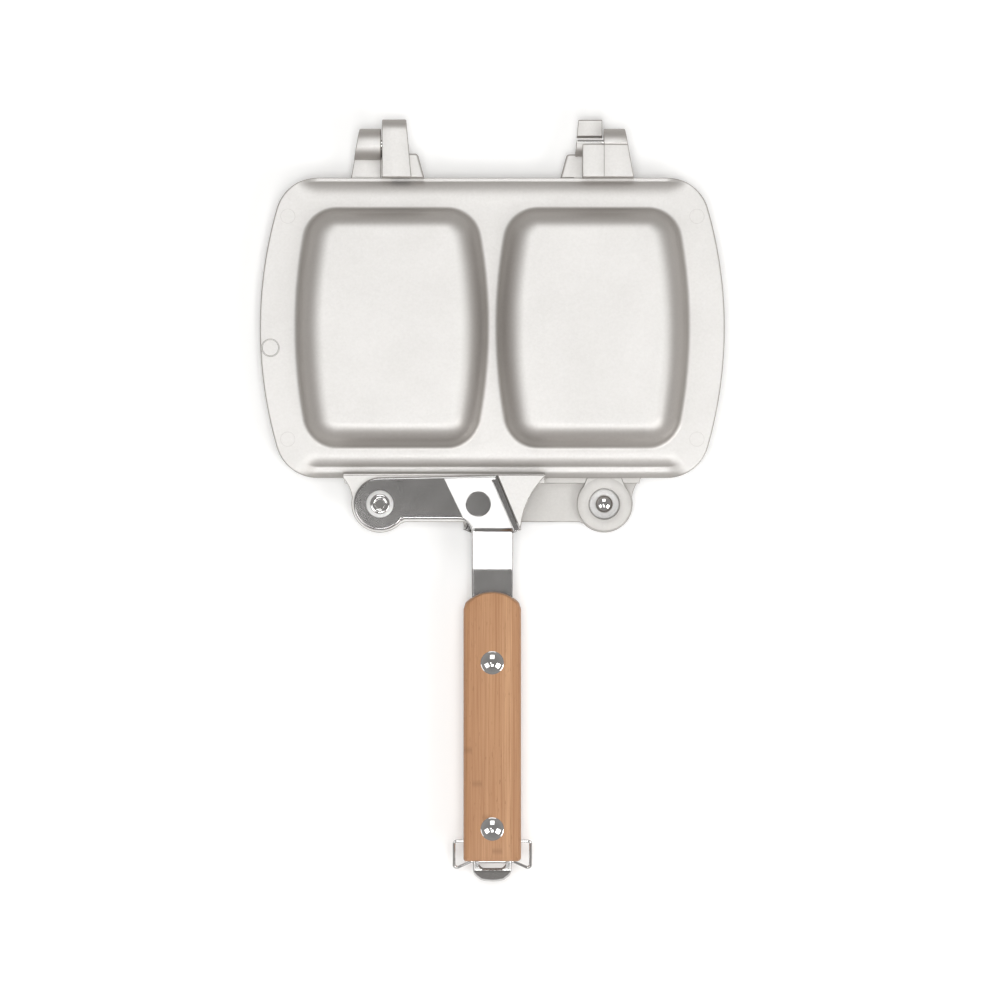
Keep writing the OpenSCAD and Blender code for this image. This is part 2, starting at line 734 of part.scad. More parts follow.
top_plate();
bottom_plate();
top_hinge_pin();
bottom_hinge_pin();
top_handle_arm();
bottom_handle_arm();
top_grip();
bottom_grip();
top_front_grip_rivet();
top_rear_grip_rivet();
bottom_front_grip_rivet();
bottom_rear_grip_rivet();
top_pivot_rivet();
bottom_pivot_rivet();
top_pivot_washer();
bottom_pivot_washer();
top_spring_washer();
bottom_spring_washer();
latch_bail_node();  // latch_bail
catch_hook_node();  // catch_hook
catch_hook_rivet();
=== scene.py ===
# %% [markdown]
# # A double hot-sandwich press
#
# The press is two identical aluminium castings hooked together, two steel handles with bamboo
# grips, and a wire bail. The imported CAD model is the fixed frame: it says where everything is and
# how it moves. This script gives each piece its finished surface and its material.

# %% Load the frame
import bpy
import bmesh
import json
import math
import numpy as np
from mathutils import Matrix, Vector


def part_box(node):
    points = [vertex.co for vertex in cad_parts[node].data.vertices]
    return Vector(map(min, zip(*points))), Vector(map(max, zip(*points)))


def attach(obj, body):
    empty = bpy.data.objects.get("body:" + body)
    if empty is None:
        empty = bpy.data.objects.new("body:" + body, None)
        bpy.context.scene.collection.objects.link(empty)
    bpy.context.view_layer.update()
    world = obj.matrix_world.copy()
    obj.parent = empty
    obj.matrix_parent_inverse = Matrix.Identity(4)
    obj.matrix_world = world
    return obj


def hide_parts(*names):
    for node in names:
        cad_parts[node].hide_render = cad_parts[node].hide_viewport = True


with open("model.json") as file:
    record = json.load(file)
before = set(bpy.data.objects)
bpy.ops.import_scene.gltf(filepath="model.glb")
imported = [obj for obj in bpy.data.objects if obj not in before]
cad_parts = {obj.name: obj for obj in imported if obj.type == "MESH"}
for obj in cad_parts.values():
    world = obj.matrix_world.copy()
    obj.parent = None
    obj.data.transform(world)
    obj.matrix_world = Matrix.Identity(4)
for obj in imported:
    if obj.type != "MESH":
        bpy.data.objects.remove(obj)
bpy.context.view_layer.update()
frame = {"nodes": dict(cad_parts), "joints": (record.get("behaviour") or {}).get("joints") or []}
joints = {joint["name"]: joint for joint in frame["joints"]}

# %% [markdown]
# The CAD tells most of the sizes that the surfaces need. The press lies on its lower pockets, so
# the parting plane, where the two pans meet, is half way up. The hinge axis and the two handle
# pivots come from the joints. Lengths below are in metres; `mm` keeps them readable.

# %% Places taken from the frame
mm = 0.001
pan_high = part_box("top_plate")[1]
parting_z = pan_high.z / 2
pocket_h = pan_high.z - parting_z
half_w = pan_high.x
axis_y = joints["lid_hinge"]["pos_m"][1]
pivot = np.array(joints["top_handle_fold"]["pos_m"][:2])
print("parting plane", parting_z, "hinge axis", axis_y, "pivot", pivot)

# %% [markdown]
# The photograph looks straight down, from far away. A long lens from three metres up gives the
# same flat view. The press's own middle is a little left of the picture's, at pixel `press_at`.

# %% Camera
photo_scale, photo_size = 0.516 * mm, 1000
press_at = 492.3, 500.5
view_height = 3.0
picture_middle = [(photo_size / 2 - press_at[0]) * photo_scale,
                  (press_at[1] - photo_size / 2) * photo_scale]

lens = bpy.data.cameras.new("camera")
lens.sensor_width = 36
lens.lens = lens.sensor_width * view_height / (photo_size * photo_scale)
lens.clip_end = 20
camera = bpy.data.objects.new("camera", lens)
camera.location = (*picture_middle, view_height + parting_z)
bpy.context.scene.collection.objects.link(camera)
bpy.context.scene.camera = camera
print("lens in mm:", round(lens.lens))

# %% [markdown]
# ## Turning arrays into meshes
#
# Every new surface here is a grid of points: a closed outline, repeated ring by ring while it
# moves inwards and upwards. No loop runs over the vertices: the corners of all the faces come from
# index arithmetic on whole arrays. A skin is a pair: its points, and its faces as lists of indices.

# %% Mesh helpers
def ring_faces(rings, points):
    """Quads between neighbouring rings: (i, j), (i, j+1), (i+1, j+1), (i+1, j), where j wraps."""
    i, j = np.meshgrid(np.arange(rings - 1) * points, np.arange(points), indexing="ij")
    k = (j + 1) % points
    return np.stack([i + j, i + k, i + points + k, i + points + j], axis=-1).reshape(-1, 4)


def make_object(name, vertices, faces, smooth_angle=35):
    """An object from points and faces, welded, with normals made to point outwards."""
    mesh = bpy.data.meshes.new(name)
    mesh.from_pydata(np.asarray(vertices).tolist(), [], [list(map(int, face)) for face in faces])
    surface = bmesh.new()
    surface.from_mesh(mesh)
    bmesh.ops.remove_doubles(surface, verts=surface.verts, dist=1e-6)
    bmesh.ops.recalc_face_normals(surface, faces=surface.faces)
    surface.to_mesh(mesh)
    surface.free()
    mesh.shade_smooth()
    mesh.set_sharp_from_angle(angle=math.radians(smooth_angle))
    piece = bpy.data.objects.new(name, mesh)
    bpy.context.scene.collection.objects.link(piece)
    return piece


def strip(rings):
    """Open skin between the rings of a stack, an array of shape (rings, points, 3)."""
    rings = np.asarray(rings)
    return rings.reshape(-1, 3), list(ring_faces(*rings.shape[:2]))


def stack(rings):
    """Closed skin: a strip with one flat face at each end."""
    vertices, faces = strip(rings)
    ends = np.arange(rings.shape[1])
    return vertices, [*faces, ends[::-1], len(vertices) - len(ends) + ends]


def cap(ring):
    """One flat face inside a ring."""
    return np.asarray(ring), [np.arange(len(ring))]


def join(parts):
    """Several skins as one."""
    vertices, faces, start = [], [], 0
    for points, polygons in parts:
        vertices.append(points)
        faces += [np.asarray(polygon) + start for polygon in polygons]
        start += len(points)
    return np.concatenate(vertices), faces


def turned(vertices):
    """Half a turn about the Y axis through the parting plane: where the lower pieces are."""
    return np.asarray(vertices) * [-1, 1, -1] + [0, 0, 2 * parting_z]


print("two rings of four points give", len(ring_faces(2, 4)), "faces")

# %% [markdown]
# An outline is drawn from arcs and corners. The helpers below round a corner with a true arc
# and put extra points on the straights, so that later bends stay smooth.

# %% Outline helpers
def arc(centre, radius, start, end, steps):
    """Points on a circle from angle start to angle end, in degrees."""
    angle = np.radians(np.linspace(start, end, steps + 1))
    return np.array(centre) + radius * np.stack([np.cos(angle), np.sin(angle)], axis=1)


def corner_arc(before, here, after, radius, steps):
    """Arc that rounds the corner here between two straights. With a turn by angle a it starts
    radius * tan(a / 2) before the corner, and its centre lies one radius to the inner side."""
    u, v = here - before, after - here
    u, v = u / np.linalg.norm(u), v / np.linalg.norm(v)
    turn = math.atan2(u[0] * v[1] - u[1] * v[0], u @ v)
    start = here - u * radius * math.tan(abs(turn) / 2)
    centre = start + math.copysign(radius, turn) * np.array([-u[1], u[0]])
    first = math.degrees(math.atan2(*(start - centre)[::-1]))
    return arc(centre, radius, first, first + math.degrees(turn), steps)


def fill_straights(points, spacing):
    """Adds points to a closed outline wherever two neighbours lie further apart than spacing."""
    filled = []
    for start, end in zip(points, np.roll(points, -1, axis=0)):
        parts = max(1, math.ceil(np.linalg.norm(end - start) / spacing - 1e-6))
        filled.append(start + (end - start) * (np.arange(parts) / parts)[:, None])
    return np.concatenate(filled)


def outline_of(*pieces, spacing=2 * mm):
    """Closed outline from arcs and lists of corners, with points added on its straights."""
    return fill_straights(np.concatenate(pieces), spacing)


def outward(points):
    """Normals of a closed anticlockwise outline, long enough to keep an inset parallel at a corner."""
    ahead = np.roll(points, -1, axis=0) - points
    ahead /= np.linalg.norm(ahead, axis=1, keepdims=True)
    behind = np.roll(ahead, 1, axis=0)
    mean = ahead + behind
    mean /= np.linalg.norm(mean, axis=1, keepdims=True)
    normal = np.stack([mean[:, 1], -mean[:, 0]], axis=1)
    return normal / np.clip((mean * ahead).sum(1, keepdims=True), 0.5, 1)


def circle(x, y, radius, points=48):
    """Points of a circle, anticlockwise."""
    return arc((x, y), radius, 0, 360, points)[:-1]


print("a circle of 5 mm has", len(outline_of(circle(0, 0, 5 * mm))), "points")

# %% [markdown]
# Most parts of the press are plates or turned pieces. A plate is an outline carried up along an edge
# profile, with its flat faces filled, which also allows holes. A turned piece is a profile carried
# round an axis. A Bevel modifier could round edges too, but a profile can have any shape.

# %% Plates and turned pieces
def edge_profile(low, high, radius, steps=4):
    """(inset, height) pairs of a slab from low to high whose two edges are quarter circles. A narrow
    flat ring at each end keeps the round edge's shading off the flat faces."""
    a = np.radians(np.linspace(0, 90, steps + 1))
    below = np.stack([radius * (1 - np.sin(a)), low + radius * (1 - np.cos(a))], axis=1)
    above = np.stack([radius * (1 - np.cos(a)), high - radius * (1 - np.sin(a))], axis=1)
    flat = radius + 0.06 * mm
    return np.concatenate([[[flat, low]], below, above, [[flat, high]]])


def flat_fill(loops, height):
    """Triangles that fill the flat region between closed loops at one height."""
    surface = bmesh.new()
    for loop in loops:
        corners = [surface.verts.new((x, y, height)) for x, y in np.asarray(loop)[:, :2]]
        for start, end in zip(corners, corners[1:] + corners[:1]):
            surface.edges.new((start, end))
    bmesh.ops.triangle_fill(surface, edges=surface.edges, use_beauty=True, use_dissolve=False)
    surface.verts.index_update()
    vertices = np.array([corner.co for corner in surface.verts])
    faces = [[corner.index for corner in face.verts] for face in surface.faces]
    surface.free()
    return vertices, faces


def at_height(flat, height):
    """Flat points (x, y) lifted to one height, or to a height for each ring."""
    flat = np.asarray(flat)[..., :2]
    return np.concatenate([flat, np.broadcast_to(height, flat.shape[:-1] + (1,))], axis=-1)


def prism(loops, profile, place=at_height, hole_share=1):
    """Solid between closed anticlockwise loops, the first outside and the others holes. At each
    (inset, height) of the profile the outer loop draws in by the inset and the holes open by
    hole_share of it, and place(flat points, height) says where such a point lies in space."""
    profile = np.asarray(profile)
    parts, ends = [], []
    for index, loop in enumerate(loops):
        step = (-1 if index == 0 else hole_share) * profile[:, :1, None]
        flat = np.asarray(loop)[None] + step * outward(np.asarray(loop))[None]
        parts.append(strip(place(flat, profile[:, 1:, None])))
        ends.append((flat[0], flat[-1]))
    for end, height in ((0, profile[0, 1]), (1, profile[-1, 1])):
        corners, faces = flat_fill([rings[end] for rings in ends], 0)
        parts.append((place(corners[:, :2], height), faces))
    return join(parts)


def slab(loops, low, high, radius, steps=3, place=at_height):
    """Plate between low and high with rounded edges."""
    return prism(loops, edge_profile(low, high, radius, steps), place)


def revolve(profile, centre=(0, 0), points=72, closed=False):
    """Surface of revolution about an upright axis: each (radius, height) of the profile becomes a
    ring. A closed profile joins its last ring to its first; an open one is capped at both ends."""
    profile = np.asarray(profile)
    angle = np.arange(points) * 2 * np.pi / points
    r, z = profile[:, :1], profile[:, 1:]
    flat = np.stack([centre[0] + r * np.cos(angle), centre[1] + r * np.sin(angle)], axis=2)
    rings = at_height(flat, z[:, None])
    return strip(np.concatenate([rings, rings[:1]])) if closed else stack(rings)


print("a plain plate has", len(slab([circle(0, 0, 5 * mm)], 0, mm, 0.2 * mm)[1]), "faces")

# %% [markdown]
# ## The two pans
#
# Each pan is one die casting: a flat margin with two raised pockets, and along its long edges a
# slope down to a thin lip. Its outline is a barrel: straight long edges, bulged short sides and
# round corners, so it is four arcs joined by straights. The same outline, smaller, makes the
# pockets.

# %% Barrel outline
def barrel(half_x, half_y, side_r, corner_r, side_steps=40, corner_steps=14, straight=1.5 * mm):
    """Closed barrel outline, anticlockwise about the origin. The bulged side's centre lies side_r
    inside its apex; the corner's centre is where both circles touch from inside."""
    a = math.asin((half_y - corner_r) / (side_r - corner_r))
    side_x = half_x - side_r
    corner = np.array([side_x + (side_r - corner_r) * math.cos(a), half_y - corner_r])
    tip = math.degrees(a)
    right = arc((side_x, 0), side_r, -tip, tip, side_steps)[1:-1]
    return fill_straights(np.concatenate([
        right, arc(corner, corner_r, tip, 90, corner_steps),
        arc(corner * [-1, 1], corner_r, 90, 180 - tip, corner_steps), -right,
        arc(-corner, corner_r, 180 + tip, 270, corner_steps),
        arc(corner * [1, -1], corner_r, 270, 360 - tip, corner_steps)]), straight)


pan_half_l = 77.4 * mm
side_r = 222 * mm
corner_r = 22 * mm
edge_y = 11.6 * mm
mid_y = edge_y + pan_half_l
outline = barrel(half_w, pan_half_l, side_r, corner_r)
print("pan outline:", len(outline), "points,", round(2 * half_w / mm, 1), "mm wide")

# %% [markdown]
# The rim band runs from the parting plane up and inwards to the flat margin. On the short sides
# its section is a small rounded edge. On the long edges it is a lip, then a slope that is steep
# at its foot and eases into the margin. All sections have the same number of points, so the band
# fades from one to the other along the outline: first its height, then its width.

# %% Rim band
web_h = 5 * mm
step_end_x = 102 * mm
slope_points = 24
foot = [[0.36, 0], [0.3, 0], [0.09, 0.09]]


def plain_section():
    """(inset, height) of the short sides: a rounded edge, then a tenth of a millimetre of margin."""
    edge = foot + [[0, 0.3], [0, 2.4], [0, 4.2], [0.12, 4.6], [0.4, 4.88], [0.8, 5]]
    flat = np.linspace(0.8, 0.9, slope_points + 1)[1:]
    return np.concatenate([edge, np.stack([flat, 5 + 0 * flat], axis=1)]) * mm


def resampled(points, count):
    """Points spread evenly along a polyline, both ends kept."""
    points = np.array(points)
    along = np.concatenate([[0], np.cumsum(np.linalg.norm(np.diff(points, axis=0), axis=1))])
    wanted = np.linspace(0, along[-1], count)
    return np.stack([np.interp(wanted, along, column) for column in points.T], axis=1)


def hinge_section():
    """(inset, height) of the edge at the hinges: a narrow lip, then a slope whose height is
    top - rise * (1 - u) ** 2.1, where u goes from 0 at its foot to 1 at the margin."""
    edge = foot + [[0, 0.3], [0, 0.6], [0, 0.85], [0.08, 1.02], [0.25, 1.14], [0.6, 1.2]]
    u = np.linspace(0, 1, slope_points - 2)
    slope = np.stack([1.8 + 10.9 * u, 5 - 3.7 * (1 - u) ** 2.1], axis=1)
    return np.concatenate([edge, [[1, 1.22], [1.45, 1.25]], slope]) * mm


def handle_section():
    """(inset, height) of the edge at the handles: an outer slope, a flat lip, then a slope whose
    height is top - rise * (1 - u) ** 2, a parabola whose steep foot eases into the margin."""
    edge = foot + [[0, 0.2], [0, 0.3], [0.03, 0.4], [0.12, 0.5], [0.3, 0.62], [0.6, 0.83]]
    lip = resampled([[1.2, 1.17], [2.2, 1.76], [3, 2.12], [3.5, 2.23], [4.1, 2.28], [5.2, 2.3]], 9)
    u = np.linspace(0, 1, slope_points - len(lip))
    slope = np.stack([5.7 + 7 * u, 5 - 2.62 * (1 - u) ** 2], axis=1)
    return np.concatenate([edge, lip, slope]) * mm


normal = outward(outline)


def fading(end_x, over):
    """One along the long edges, easing to zero at |x| = end_x over a length: t * t * (3 - 2 * t)."""
    t = np.clip((end_x - np.abs(outline[:, 0])) / over, 0, 1) * (np.abs(normal[:, 1]) > 0.5)
    return (t * t * (3 - 2 * t))[None, :]


stepped = np.where(outline[None, :, 1:] > 0, hinge_section()[:, None], handle_section()[:, None])
share = np.stack([fading(step_end_x + 8 * mm, 9 * mm), fading(step_end_x, 13 * mm)], axis=2)
section = (1 - share) * plain_section()[:, None] + share * stepped
band = at_height(outline[None] - section[..., :1] * normal[None], section[..., 1:])
print("rim band:", band.shape[0], "rings of", band.shape[1], "points")

# %% [markdown]
# A pocket rises from the margin through a tight fillet, a leaning wall and a wide soft shoulder.
# The fillet and the shoulder are arcs and the wall is their common tangent, so light slides over
# it with no crease. The inside is the same section moved by the thickness of the casting.

# %% Pocket
wall = 2.5 * mm
pocket_half = np.array([51.1, 62.9]) * mm
pocket_side_r = 270 * mm
pocket_corner_r = 18.5 * mm
pocket_x = 51.7 * mm
lean = math.radians(20)
fillet_r = 3.2 * mm
shoulder_r = 13 * mm
end_share = 0.84
turn = math.pi / 2 - lean
rise = pocket_h - web_h - (fillet_r + shoulder_r) * (1 - math.cos(turn))
inset = (fillet_r + shoulder_r) * math.sin(turn) + rise * math.tan(lean)


def pocket_section(depth):
    """(inset, height) of the pocket's surface that lies depth inside the outer one."""
    a = np.linspace(0, turn, 9)
    r = fillet_r + depth
    fillet = np.stack([r * np.sin(a), web_h + fillet_r - r * np.cos(a)], 1)
    a = np.linspace(turn, 0, 20)
    r = shoulder_r - depth
    shoulder = np.stack([inset - r * np.sin(a), pocket_h - shoulder_r + r * np.cos(a)], 1)
    flat = 0.12 * mm
    ends = [[[-flat, web_h - depth]], [[inset + flat, pocket_h - depth]]]
    return np.concatenate([ends[0], fillet, shoulder, ends[1]])


def pocket_rings(side, depth):
    """Rings of a pocket: each is the barrel outline, smaller by the section's inset."""
    rings = [at_height(barrel(*(pocket_half - [d, d * end_share]), pocket_side_r - d,
                              pocket_corner_r - d * end_share, 24, 12, 200 * mm), z)
             for d, z in pocket_section(depth)]
    return np.array(rings) + [side * pocket_x, 0, 0]


print("pocket wall leans", round(math.degrees(lean)), "degrees and its face is inset",
      round(inset / mm, 1), "mm")

# %% [markdown]
# The flat parts between the rings have holes in them, so they are filled by Blender's triangle
# fill from their border loops. Everything is welded into one closed skin, outside and inside.
# Four ejector pins left faint round marks in the margin, and a ring is pressed in at the left. Each
# is a list of steps (radius, depth) in millimetres, flat at its start and end.

# %% Pan skin
pin_mark = [(3.9, 0), (3.84, 0), (3.74, 0.06), (3.6, 0.06), (3.5, 0.02), (3.44, 0.02)]
ring_mark = [(4.76, 0), (4.7, 0), (4.5, 0.5), (4.2, 0.5), (4, 0), (3.94, 0)]
mark_x, mark_y = half_w - 14.4 * mm, 57.4 * mm
marks = [(x, y, pin_mark) for x in (mark_x, -mark_x) for y in (mark_y, -mark_y)]
marks.append((5.5 * mm - half_w, -10.3 * mm, ring_mark))


def pan_skin():
    """Outer and inner skin of one pan about its own middle, from the parting plane upwards."""
    parts = [strip(band)]
    outer = [pocket_rings(side, 0) for side in (-1, 1)]
    inner = [pocket_rings(side, wall) for side in (-1, 1)]
    stamped = [[at_height(circle(x, y, radius * mm), web_h - depth * mm) for radius, depth in steps]
               for x, y, steps in marks]
    rim_x, rim_y = 3 * mm, 13 * mm
    recess = barrel(half_w - rim_x, pan_half_l - rim_y, side_r - rim_x, corner_r - rim_x)
    roof = web_h - wall
    parts.append(flat_fill([band[-1], *[rings[0] for rings in outer + stamped]], web_h))
    parts.append(flat_fill([band[0], recess], 0))
    parts.append(strip([at_height(recess, 0), at_height(recess, roof)]))
    parts.append(flat_fill([recess, *[rings[0] for rings in inner]], roof))
    for rings in stamped + outer + inner:
        parts += [strip(rings), cap(rings[-1])]
    return join(parts)


pan_vertices, pan_faces = pan_skin()
pan_vertices = pan_vertices + [0, mid_y, parting_z]
top_casting = make_object("top_pan_casting", pan_vertices, pan_faces, smooth_angle=40)
bottom_casting = make_object("bottom_pan_casting", turned(pan_vertices), pan_faces, smooth_angle=40)
print("pan casting:", len(top_casting.data.polygons), "faces")
for casting, side in ((top_casting, "top"), (bottom_casting, "bottom")):
    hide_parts(f"{side}_plate")
    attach(casting, f"{side}_pan")

# %% [markdown]
# Every other piece also exists twice: once on the upper side and once on the lower, half a turn
# about the Y axis away. This helper makes both from one skin and names the body that each rides.

# %% Pieces in pairs
def pair(name, skin, body, node=None, smooth_angle=35):
    """The upper and the lower copy of a piece whose heights are counted from the parting plane."""
    vertices = np.asarray(skin[0]) + [0, 0, parting_z]
    pieces = []
    for side, points in (("top", vertices), ("bottom", turned(vertices))):
        piece = make_object(f"{side}_{name}", points, skin[1], smooth_angle)
        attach(piece, f"{side}_{body}")
        if node:
            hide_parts(f"{side}_{node}")
        pieces.append(piece)
    print(name, "has", len(pieces[0].data.polygons), "faces")
    return pieces

# %% [markdown]
# ## The lugs that carry the handles
#
# Beside each pan's front edge stands a lug: a plate under the handle's arm, a round boss that
# reaches the parting plane, and a raised stop that the open handle leans on. Its plan is arcs and
# straights, drawn as one outline. The hollow shoulder and the stop's hollow back are arcs whose
# centres lie outside the metal.

# %% Lug plan
lug_r, lug_h, lug_t, stop_h = 14.7 * mm, 8.6 * mm, 3 * mm, 12.6 * mm
stop_top = np.array([2.6 * mm, edge_y + 1.6 * mm])
stop_tip = np.array([14.4, -15.2]) * mm
stop_back_at, stop_back_r = (55.7 * mm, -17.1 * mm), 41.1 * mm
lug_left = pivot[0] - lug_r

lug_outline = outline_of(
    arc(pivot, lug_r, 166, 317, 40),
    arc(pivot + np.array([13.4, -12.2]) * mm, 2.9 * mm, 132, 90, 5),
    [[stop_tip[0] + 0.3 * mm, -11.1 * mm]],
    arc(stop_back_at, stop_back_r, 171, 132.5, 20),
    [[lug_left - 4.6 * mm, stop_top[1]]],
    arc((lug_left - 17 * mm, -0.4 * mm), 17.4 * mm, 43, 8, 12), spacing=3 * mm)

stop_outline = outline_of(
    [stop_top, stop_tip + [-0.3 * mm, 0.7 * mm]],
    arc(stop_tip + [0.1 * mm, 0.35 * mm], 0.5 * mm, 215, 330, 5),
    arc(stop_back_at, stop_back_r, 177.4, 132.5, 24)[1:])
print("lug outline:", len(lug_outline), "points; stop outline:", len(stop_outline))

# %% [markdown]
# The plate's upper edge and the stop's are soft, as on any die casting. The boss is a turned
# profile: a ring with a wide countersink in its underside. The neck flares from the pan's edge to
# the boss, and a root wall joins the plate to the pan.

# %% Lug skin
boss_face, countersink_z, shank_hole_r = 0.15 * mm, 4.4 * mm, 3.25 * mm
root_front, root_back, root_right = edge_y - 2.8 * mm, edge_y + 2.3 * mm, 27 * mm
root = outline_of([[lug_left - 3.4 * mm, root_front], [root_right, root_front], [root_right, root_back],
                   [lug_left - 4.4 * mm, root_back]], spacing=4 * mm)
neck = outline_of(pivot + np.array([[13.7, 2.1], [8.9, 13.6], [-8.9, 13.6], [-13.7, 2.1]]) * mm,
                  arc(pivot, 10.5 * mm, 168, 12, 20))
boss_section = np.array([
    [13.6, 8.55], [14.1, 8.1], [14.1, 0.65], [13.95, 0.3], [13.6, 0.15], [8.35, 0.15], [8.1, 0.25],
    [8, 0.55], [8, 4.4], [3.25, 4.4], [3.25, 8.55]]) * mm
lug_skin = join([
    slab([lug_outline, circle(*pivot, shank_hole_r)], lug_h - lug_t, lug_h, 0.5 * mm),
    slab([root], 0.9 * mm, lug_h - 0.3 * mm, 0.4 * mm, 4),
    slab([neck], boss_face + 0.03 * mm, lug_h - 0.3 * mm, 0.4 * mm),
    slab([stop_outline], lug_h - lug_t + 0.2 * mm, stop_h, 0.6 * mm, 4),
    revolve(boss_section, pivot, closed=True)])
lugs = pair("lug", lug_skin, "pan")

# %% [markdown]
# ## The hinge arms
#
# Each pan has an open hook on one side and, on the other, a barrel that holds a short pin. They are
# extrusions along X, so each is first a section in Y and Z about the hinge axis. The hook's mouth
# faces away at 45 degrees, and its bore leaves the pin a running gap.

# %% Hook and barrel sections
pin_r = 3.5 * mm
hinge_h = 8.3 * mm
back_y = -17.7 * mm
mouth_out, mouth_up = np.array([1, -1]) / math.sqrt(2), np.array([1, 1]) / math.sqrt(2)
mouth = 3.8 * mm
toe = [[back_y, 0.3 * mm]]
heel = arc((back_y + 1.4 * mm, hinge_h - 1.4 * mm), 1.4 * mm, 90, 180, 6)
crest = arc((-0.9 * mm, hinge_h - 0.6 * mm), 0.6 * mm, 0, 90, 4)
hook_section = outline_of(
    toe, arc((0, 0), 6.3 * mm, 177, 278, 24),
    [mouth_out * 0.4 * mm - mouth_up * mouth], arc((0, 0), 3.55 * mm, 231, 39, 28),
    [mouth_out * 0.4 * mm + mouth_up * mouth, [4.57 * mm, 0.8 * mm], [12.2 * mm, 0.8 * mm]],
    arc((5.9 * mm, 1.4 * mm), 6.9 * mm, 0, 90, 14), heel)
web_section = outline_of(toe, arc((0, 0), 6.6 * mm, 177, 93, 16), crest, heel)
barrel_section = outline_of(toe, arc((0, 0), 8.1 * mm, 178, 446, 48), crest, heel)
print("hook section:", len(hook_section), "points")

# %% [markdown]
# A casting must leave its mould, so an arm's outer side draws in towards the tip. Each side is a
# straight function of Y, and the plate helper takes a placement that puts every point between them.

# %% Hinge arms
def across(left, right, width):
    """Placement of a section drawn in (Y, Z) about the hinge axis: x runs from left(y) to right(y)
    in proportion to height / width."""
    def place(flat, height):
        y, z = flat[..., :1], flat[..., 1:]
        return np.concatenate([left(y) + (right(y) - left(y)) * height / width, axis_y + y, z], axis=-1)
    return place


def draft(at_pan, at_tip, tip_y):
    """Side whose x goes in a straight line from at_pan at the pan's edge to at_tip at tip_y."""
    return lambda y: at_pan + (at_tip - at_pan) * (y - back_y) / (tip_y - back_y)


def square(x):
    """Side at one x."""
    return draft(x, x, 0)


hook_w, web_w, barrel_w = 14 * mm, 11.4 * mm, 13 * mm
hook_place = across(square(-56.8 * mm), draft(-41.6 * mm, -44.4 * mm, 12.8 * mm), hook_w)
web_place = across(square(46.4 * mm), square(57.8 * mm), web_w)
barrel_place = across(square(57.4 * mm), draft(73 * mm, 68.4 * mm, 8.1 * mm), barrel_w)
feet = np.array([[-52, -17.7], [-35, -17.7], [-38.4, -5], [-52, -5]]) * mm
buttress = outline_of(feet[:2], corner_arc(*feet[1:], 2 * mm, 6), feet[3:], spacing=4 * mm)
hinge_skin = join([
    slab([hook_section], 0, hook_w, 0.5 * mm, place=hook_place),
    slab([web_section], 0, web_w, 0.5 * mm, place=web_place),
    slab([barrel_section, circle(0, 0, pin_r + 0.02 * mm)], 0, barrel_w, 0.5 * mm, place=barrel_place),
    slab([buttress + [0, axis_y]], 0.3 * mm, 6.4 * mm, 1.2 * mm, 5)])
hinge_arms = pair("hinge_arms", hinge_skin, "pan")

# %% [markdown]
# The pin is a plain ground rod with broken edges: a turned profile laid along X.

# %% Hinge pins
def rod_along_x(x0, x1, radius, y, edge=0.4 * mm):
    """A turned rod along X: the profile (radius, distance) is revolved and its axis laid over."""
    vertices, faces = revolve([(radius - edge, 0), (radius, edge), (radius, x1 - x0 - edge),
                               (radius - edge, x1 - x0)], points=64)
    return np.stack([x0 + vertices[:, 2], y + vertices[:, 0], vertices[:, 1]], axis=1), faces


hinge_pins = pair("pin", rod_along_x(43.5 * mm, 68.8 * mm, pin_r, axis_y), "pan", "hinge_pin")

# %% [markdown]
# ## The handle's steel strip
#
# One sheet makes the flat arm, the sloping shank, the strip under the grip and the tail with its
# slot. As in a workshop, its blank is drawn flat first.

# %% Strip plan
strip_t, strip_half = 1.8 * mm, 10.7 * mm
arm_z = lug_h + 0.1 * mm
strip_z = 5.3 * mm
grip_front_y, grip_rear_y, strip_end_y = -47 * mm, -185.3 * mm, -196.5 * mm
tail_half, taper_y = 10 * mm, grip_rear_y + 2 * mm
away = np.array([-28.4, -11.8]) / np.hypot(28.4, 11.8)
end_top, end_tip = stop_top + away * 0.3 * mm, stop_tip + away * 0.3 * mm

strip_outline = outline_of(
    arc(pivot, 13.7 * mm, 90, 322, 60),
    arc(pivot + np.array([13.1, -10.6]) * mm, 2.6 * mm, 140, 90, 5),
    arc((-17.3 * mm, -16.4 * mm), 6.6 * mm, 90, 3, 12),
    [[-strip_half, -18 * mm], [-strip_half, taper_y], [-tail_half, taper_y - 2.5 * mm]],
    arc((5 * mm - tail_half, strip_end_y + 6.4 * mm), 5 * mm, 180, 240, 8),
    arc((0, strip_end_y + 22 * mm), 22 * mm, 254, 286, 12),
    arc((tail_half - 5 * mm, strip_end_y + 6.4 * mm), 5 * mm, 300, 360, 8),
    [[tail_half, taper_y - 2.5 * mm], [strip_half, taper_y], [strip_half, -17 * mm], end_tip, end_top])
window = outline_of(
    [[6.8 * mm, grip_rear_y + 0.6 * mm], [-6.8 * mm, grip_rear_y + 0.6 * mm]],
    arc((-4 * mm, grip_rear_y - 1.9 * mm), 2.8 * mm, 180, 256, 8),
    arc((4 * mm, grip_rear_y - 1.9 * mm), 2.8 * mm, 284, 360, 8))

# %% [markdown]
# Bending gives each point a height that depends on its place. A triangle can only bend along its
# edges, so the skin is first cut across where it will bend. The arm's end is a panel that lifts a
# little towards the stop, so it catches a light that the arm misses.

